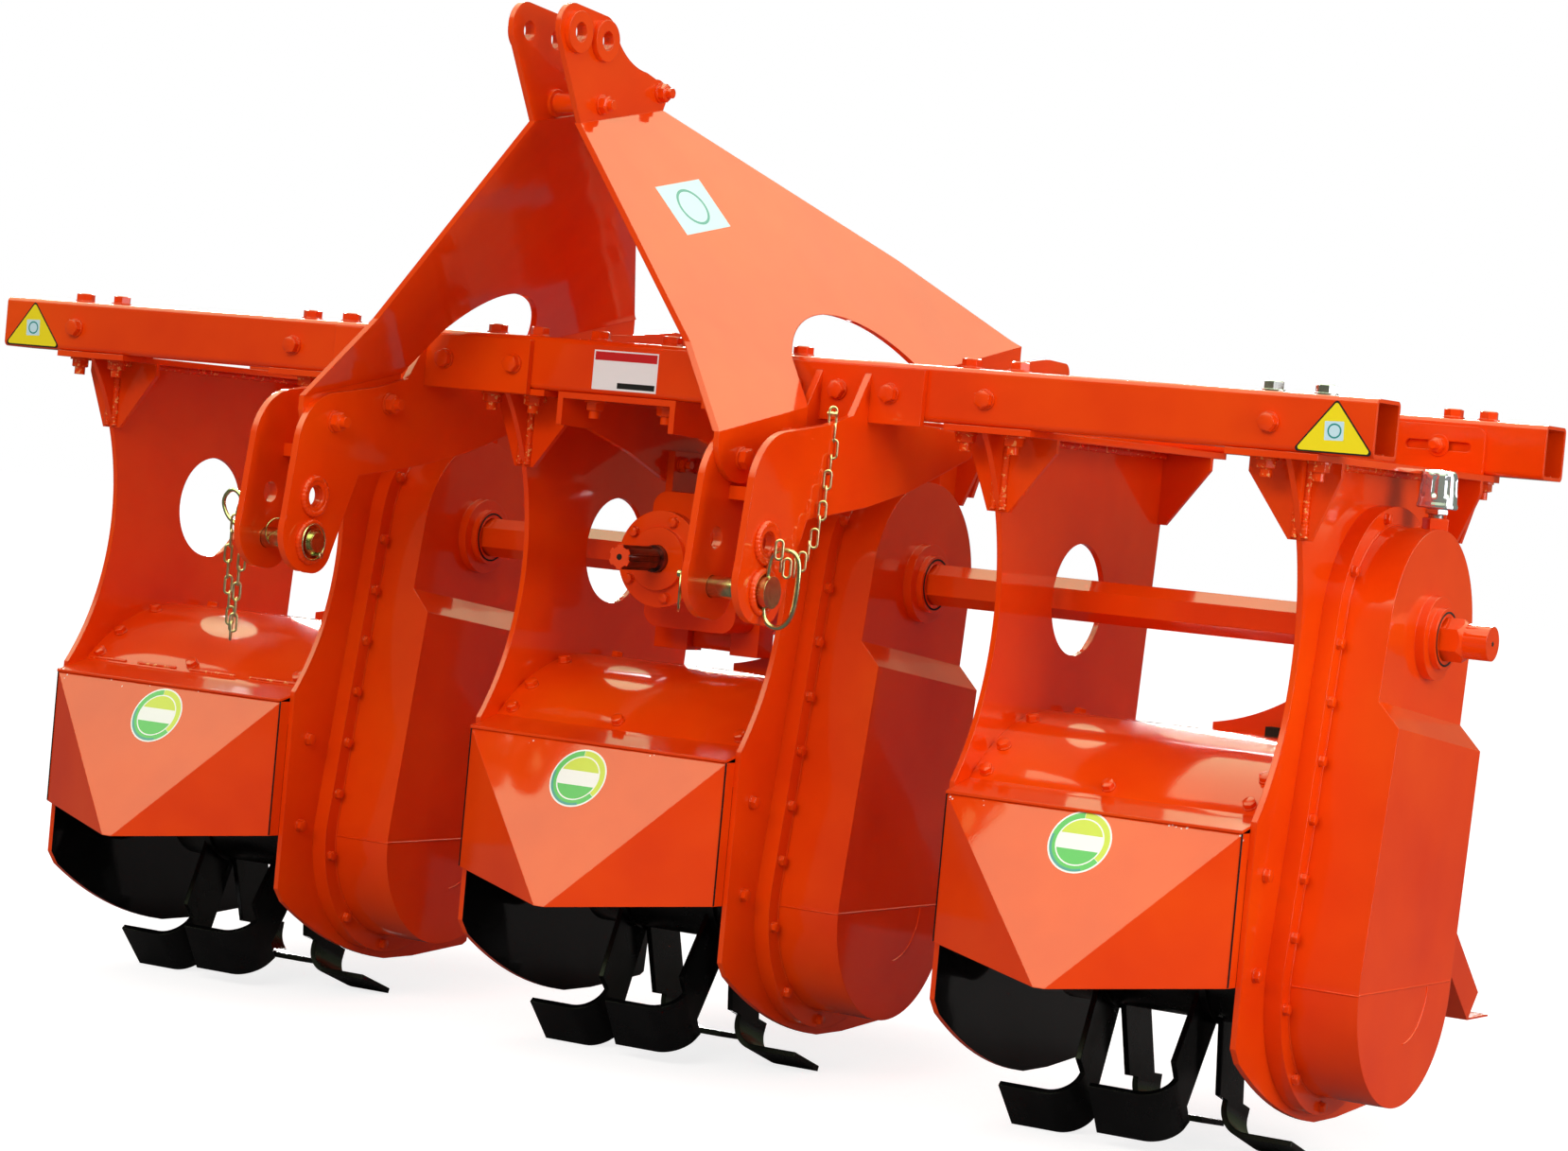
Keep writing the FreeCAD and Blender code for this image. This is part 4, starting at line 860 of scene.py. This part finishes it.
# ---------------------------------------- pins, clips and chains
wire("right_pin_ring", [(419, -283, 36), (440, -283, 42), (462, -283, 34), (463, -283, -8),
                        (458, -283, -48), (436, -283, -64), (413, -283, -50), (415, -283, -8)],
     3.3, PIN_ZINC, closed=True)
chain("right_pin_chain", [(406, -138, 218), (408, -134, 200), (411, -137, 178), (412, -141, 164),
                          (414, -151, 142), (416, -154, 122), (419, -164, 101), (421, -171, 80),
                          (424, -184, 63), (426, -200, 44), (428, -222, 24), (430, -254, 14),
                          (433, -280, 24), (438, -296, 40)])
welds("right_chain_tack", [[(399, -139, 221), (413, -137, 221)]], 4.0, CHAIN_ZINC)
wire("left_pin_loop", [(-432, -283, -14), (-446, -283, -12), (-458, -283, -2), (-474, -283, 8),
                       (-484, -283, 30), (-468, -283, 48), (-448, -283, 36), (-456, -283, 14),
                       (-454, -283, -2), (-440, -283, -18)], 2.9, PIN_ZINC)
chain("left_pin_chain", [(-458, -283, -2), (-462, -283, -20), (-465, -283, -42),
                         (-462, -284, -66), (-459, -284, -90), (-451, -286, -124),
                         (-442, -290, -156), (-438, -290, -124), (-437, -292, -82),
                         (-430, -296, -54), (-413, -299, -40)])
wire("left_pin_clip", hoop((-313, -289, -16), 24, (0, 1, 0), UP), 1.3, PIN_ZINC, closed=True)
lathe("left_clip_knob", [(3, 0), (4.5, 1), (4.5, 7), (3, 8)], (-316, -275, -34), RIGHTWARD,
      PIN_ZINC, sides=20)
wire("left_keeper_ring", hoop((-380, -283, -8), 19, (0.5, 1, 0), UP), 1.2, PIN_ZINC, closed=True)
wire("right_pin_clip", hoop((294, -296, -26), 25, (-0.516, 0.857, 0), UP), 1.5, PIN_ZINC,
     closed=True)
lathe("right_clip_knob", [(3, 0), (5, 1), (5, 9), (3, 10)], (289, -296, -4), RIGHTWARD, PIN_ZINC,
      sides=20)

# ---------------------------------------- welds
BOSS = [(15.5, 0), (15.5, 4), (17, 5), (21, 5), (25, 3), (27, 0)]
beads = []
for x, out, word in ((HITCH_OUTER + HITCH_PLATE, 1, "right_outer"), (-HITCH_INNER, 1, "left_inner"),
                     (HITCH_INNER, -1, "right_inner"),
                     (-HITCH_OUTER - HITCH_PLATE, -1, "left_outer")):
    lathe("hole_boss_" + word, BOSS, (x, PIN_Y, HOLE_Z), (out, 0, 0), ENAMEL, sides=40,
          hollow=True)
    beads.append(around(x + out * 1.5, PIN_Y, HOLE_Z, 24.5))
    beads.append(around(x + out * 1.5, PIN_Y, PIN_Z, 27.0))
welds("hitch_ring_welds", beads, 5.0)

# where the foot plates, gussets and side plates meet under the bars
FRONT_GUSSET_Y, REAR_GUSSET_Y, FOOT_Z = 34.5, 524.5, 212
joints = []
for x in plate_middles:
    for side in (-1, 1):
        near, far = x + side * 6, x + side * 7
        joints.append([(near, FRONT_GUSSET_Y, 208), (near, FRONT_GUSSET_Y, 160),
                       (far, FRONT_GUSSET_Y, 116)])
        joints.append([(near, REAR_GUSSET_Y, 208), (near, REAR_GUSSET_Y, 118)])
        joints.append([(near, 44, FOOT_Z), (near, 512, FOOT_Z)])
    joints.append([(x - 30, FRONT_GUSSET_Y, FOOT_Z), (x + 30, FRONT_GUSSET_Y, FOOT_Z)])
HEAVY_BEAD = 5.2
welds("gusset_welds", joints, HEAVY_BEAD, ENAMEL_SPATTER_GLINTS)
for side, word in ((-1, "left"), (1, "right")):
    lines = [[(side * x, BAR_FRONT - 1, 228), (side * x, BAR_FRONT - 1, 284)]
             for x in (HITCH_INNER, HITCH_INNER + HITCH_PLATE, HITCH_OUTER,
                       HITCH_OUTER + HITCH_PLATE)]
    welds("hitch_welds_" + word, lines, HEAVY_BEAD, ENAMEL_SPATTER_GLINTS)

# the bars are rolled and seam welded tube: the seam shows on the inner wall
for word, y in BAR_MIDDLES.items():
    bar_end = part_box("tube_" + word)[1][0] / MM - 2.0
    seam = [(bar_end * share, y, BAR_BOTTOM + 4.6) for share in (-1, -0.5, 0, 0.5, 1)]
    welds("bar_seam_" + word, [seam], 2.0)

# black wire down the gap beside each side plate: painted shade of the gap, where the cover's black
# inner flange also shows
COVER_GAP_Y = -40.9
for name, unit_x in UNITS.items():
    for word, x in (("left", PLATE_LEFT + PLATE + 0.9), ("right", PLATE_RIGHT - PLATE - 0.9)):
        wire("cover_gap_shade_" + word + "_" + name,
             [(unit_x + x, COVER_GAP_Y, z) for z in (COVER_EDGE[1], -360, ROTOR[1])], 1.15, BLACK)

# short runs of weld where the left cover's return meets its hood, 44 degrees ahead of its crest;
# their pale flecks are painted highlights along the hood's front edge
RETURN_BEARING = 90 + 44
runs = [(-190, -120), (-96, -22), (4, 92), (120, 214)]
welds("cover_return_welds_and_glints",
      [[about_rotor(UNITS["left"] + x, HOOD_R, RETURN_BEARING) for x in run] for run in runs],
      2.4, ENAMEL_SPATTER_GLINTS)

# ---------------------------------------- blank stickers
BADGE_SPOTS = {"left": (20.0, -63.0), "middle": (8.0, -65.0), "right": (14.0, -60.0)}
BADGE = [("white", disc(44.5), 0),
         ("lime", arc_band(34.0, 42.0, -35, 95), 0.5),
         ("green", arc_band(34.0, 42.0, 96, 324), 0.5),
         ("sea_green", arc_band(38.5, 42.0, 170, 290), 1.0),
         ("lime", cap_of_disc(32.0, 11.0, 1), 0.5),
         ("green", cap_of_disc(32.0, 11.0, -1), 0.5)]
for name, (x, y) in BADGE_SPOTS.items():
    # on the middle facet of the cover
    z = COVER_EDGE[1] + COVER_RISE[2] / COVER_RISE[1] * (y - COVER_EDGE[0])
    patch("badge_" + name, BADGE, (UNITS[name] + x, y, z), RIGHTWARD, COVER_RISE)
patch("blank_sign_front", [("white", rectangle(0, 0, 107, 55), 0),
                           ("red", rectangle(2, 41, 105, 53), 0.5),
                           ("black", rectangle(42, 3, 104, 11), 0.5)],
      (-43, BAR_FRONT, 230), RIGHTWARD, UP)


def whole_ring(inner, outer, rise, layer):
    """A ring in two halves, so that each is a plain outline."""
    halves = (arc_band(inner, outer, 0, 180), arc_band(inner, outer, 180, 360))
    return [("sea_green", [(x, y + rise) for x, y in half], layer) for half in halves]


TRIANGLE = [("black", rounded([(-56, 0), (56, 0), (0, 69)], 4.0), 0),
            ("yellow", rounded([(-51.5, 2.2), (51.5, 2.2), (0, 65.5)], 3.0), 0.5),
            ("pale_blue", rounded([(-13, 16), (13, 17), (12, 41), (-14, 40)], 1.0), 1.0)]
for word, x in (("left", -1074), ("right", 1076)):
    patch("yellow_patch_" + word, TRIANGLE + whole_ring(7.5, 9.5, 28.5, 1.5), (x, BAR_FRONT, 225),
          RIGHTWARD, UP)

# square sheet on the sloping face of the right mast leg
LEG_SLOPE, LEG_LEAN = 1.272, 0.21
leg_face = Vector((LEG_SLOPE, -LEG_LEAN, 1.0)).normalized()
# a point of the fold below the ear, and a point near the sheet's middle
leg_start = Vector((EAR_OUTER, -251.0, 578.0))
near_sheet = Vector((138.75, -107.25, 485.25))
leg_centre = near_sheet - leg_face * (near_sheet - leg_start).dot(leg_face)
leg_across = Vector((0, 1, LEG_LEAN)).normalized()
patch("blank_sheet_leg", [("pale_blue", rectangle(-54, -40, 54, 40), 0)]
      + whole_ring(25.5, 29.5, 0, 0.5), leg_centre, leg_across, leg_face.cross(leg_across))

# ---------------------------------------- floor, light and camera
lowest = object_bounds()[0]
CAMERA_LOCATION = (3.090, -4.6815, 0.1449)
CAMERA_TURN = (31.06, 1.53, 5.24)
FOCAL_LENGTH = 92.11


def stage_sheet(name, size, height, material):
    mesh = bpy.data.meshes.new(name)
    s = size / 2
    corners = [(x, y, height) for x, y in rectangle(-s, -s, s, s)]
    mesh.from_pydata(corners, [], [(0, 1, 2, 3)])
    sheet = bpy.data.objects.new(name, mesh)
    sheet.data.materials.append(material)
    bpy.context.scene.collection.objects.link(sheet)


def floor_material():
    """Matt paper, white to the lens but for the contact shadow, and darker in the gloss."""
    material = new_material("matt_white_paper")[0]
    tree = material.node_tree
    ray = add(tree, "ShaderNodeLightPath").outputs
    tone = covered(tree, ray["Is Glossy Ray"], srgb("#B4B0AC"), "#6A6866")
    paper = add(tree, "ShaderNodeBsdfDiffuse", {"Color": tone})
    seen = maths(tree, "MULTIPLY", ray["Is Camera Ray"], 0.80)
    white = add(tree, "ShaderNodeEmission", {"Color": (1, 1, 1, 1), "Strength": seen})
    shader = add(tree, "ShaderNodeAddShader", {0: paper.outputs[0], 1: white.outputs[0]})
    add(tree, "ShaderNodeOutputMaterial", {"Surface": shader.outputs[0]})
    return material


stage_sheet("studio_floor", 60.0, lowest.z - 0.0005, floor_material())


def eased(tree, value, start, end, low=0.0, high=1.0):
    """Goes smoothly from low to high while the value goes from start to end."""
    return add(tree, "ShaderNodeMapRange", {"Value": value, "From Min": start, "From Max": end,
                                            "To Min": low, "To Max": high},
               interpolation_type="SMOOTHSTEP").outputs[0]


def between(tree, value, low, high, soft):
    """1 where the value lies between two limits, with soft edges."""
    return both(tree, eased(tree, value, low - soft, low + soft),
                eased(tree, value, high + soft, high - soft))


def sky():
    """White hall: even light, and for the gloss a bright ceiling, dark walls and windows."""
    world = bpy.data.worlds.new("white_hall")
    bpy.context.scene.world = world
    world.use_nodes = True
    tree = world.node_tree
    tree.nodes.clear()
    ray = add(tree, "ShaderNodeLightPath").outputs
    direction = add(tree, "ShaderNodeTexCoord").outputs["Generated"]
    xyz = add(tree, "ShaderNodeSeparateXYZ", {"Vector": direction}).outputs
    height = xyz["Z"]
    bearing = maths(tree, "ARCTAN2", xyz["X"], xyz["Y"])
    room = eased(tree, height, 0.2, 0.75, 0.42, 0.78)
    ceiling = eased(tree, height, 0.34, 0.68, 0.16, 3.1)
    wave = maths(tree, "SINE", maths(tree, "MULTIPLY", bearing, 42.0))
    panes = maths(tree, "GREATER_THAN", wave, -0.2)
    row = both(tree, between(tree, height, 0.15, 0.40, 0.015),
               between(tree, bearing, -0.95, -0.35, 0.02))
    windows = maths(tree, "MULTIPLY", both(tree, panes, row), 60.0)
    # a white screen high on the left, and a door on the right that rounds and chrome pick up
    screen = both(tree, between(tree, height, 0.50, 0.80, 0.03),
                  between(tree, bearing, -2.75, -1.95, 0.05))
    door = both(tree, between(tree, height, -0.1, 0.55, 0.03),
                between(tree, bearing, 1.05, 1.75, 0.03))
    windows = maths(tree, "MULTIPLY_ADD", door, 4.5, windows)
    ceiling = maths(tree, "MULTIPLY_ADD", screen, 1.2, ceiling)
    mirrored = ray["Is Glossy Ray"]
    even = add(tree, "ShaderNodeMix", {0: ray["Is Camera Ray"], 2: room, 3: 1.0}).outputs[0]
    white = maths(tree, "ADD", maths(tree, "MULTIPLY", windows, mirrored),
                  maths(tree, "MULTIPLY", even, maths(tree, "SUBTRACT", 1.0, mirrored)))
    plain = add(tree, "ShaderNodeBackground", {"Color": (1, 1, 1, 1), "Strength": white})
    tinted = add(tree, "ShaderNodeBackground", {
        "Color": (0.84, 1.0, 0.6, 1), "Strength": maths(tree, "MULTIPLY", ceiling, mirrored)})
    light = add(tree, "ShaderNodeAddShader", {0: plain.outputs[0], 1: tinted.outputs[0]})
    add(tree, "ShaderNodeOutputWorld", {"Surface": light.outputs[0]})


sky()


def softbox(name, size, place, target, power):
    """Rectangular lamp that lights the paint but isn't mirrored in it."""
    lamp = bpy.data.lights.new(name, "AREA")
    lamp.shape = "RECTANGLE"
    lamp.size, lamp.size_y = size
    lamp.energy = power
    holder = bpy.data.objects.new(name, lamp)
    holder.location = place
    holder.rotation_euler = (Vector(target) - Vector(place)).to_track_quat("-Z", "Y").to_euler()
    holder.visible_glossy = False
    bpy.context.scene.collection.objects.link(holder)


softbox("key_softbox", (3.0, 1.6), (0.7, -4.4, 2.1), (0, 0, -0.2), 96)
softbox("side_softbox", (1.6, 2.4), (4.4, -0.6, 0.9), (0.5, 0.2, -0.3), 74)
softbox("rear_softbox", (3.0, 1.6), (-0.8, 5.2, 2.6), (0, 0.4, -0.2), 44)


def camera():
    """Long lens from the right front, a little below the bars."""
    yaw, pitch, roll = (math.radians(a) for a in CAMERA_TURN)
    ahead = Vector((-math.sin(yaw), math.cos(yaw), 0))
    right = Vector((math.cos(yaw), math.sin(yaw), 0))
    up = Vector(UP)
    ahead_down = ahead * math.cos(pitch) - up * math.sin(pitch)
    up_tilted = up * math.cos(pitch) + ahead * math.sin(pitch)
    right_rolled = right * math.cos(roll) + up_tilted * math.sin(roll)
    up_rolled = up_tilted * math.cos(roll) - right * math.sin(roll)
    lens = bpy.data.cameras.new("lens")
    lens.sensor_width = 36.0
    lens.sensor_fit = "HORIZONTAL"
    lens.lens = FOCAL_LENGTH
    lens.clip_end = 200.0
    holder = bpy.data.objects.new("camera", lens)
    axes = Matrix((right_rolled, up_rolled, -ahead_down)).transposed().to_4x4()
    holder.matrix_world = Matrix.Translation(CAMERA_LOCATION) @ axes
    bpy.context.scene.collection.objects.link(holder)
    bpy.context.scene.camera = holder


camera()
bpy.context.scene.view_settings.view_transform = "Standard"
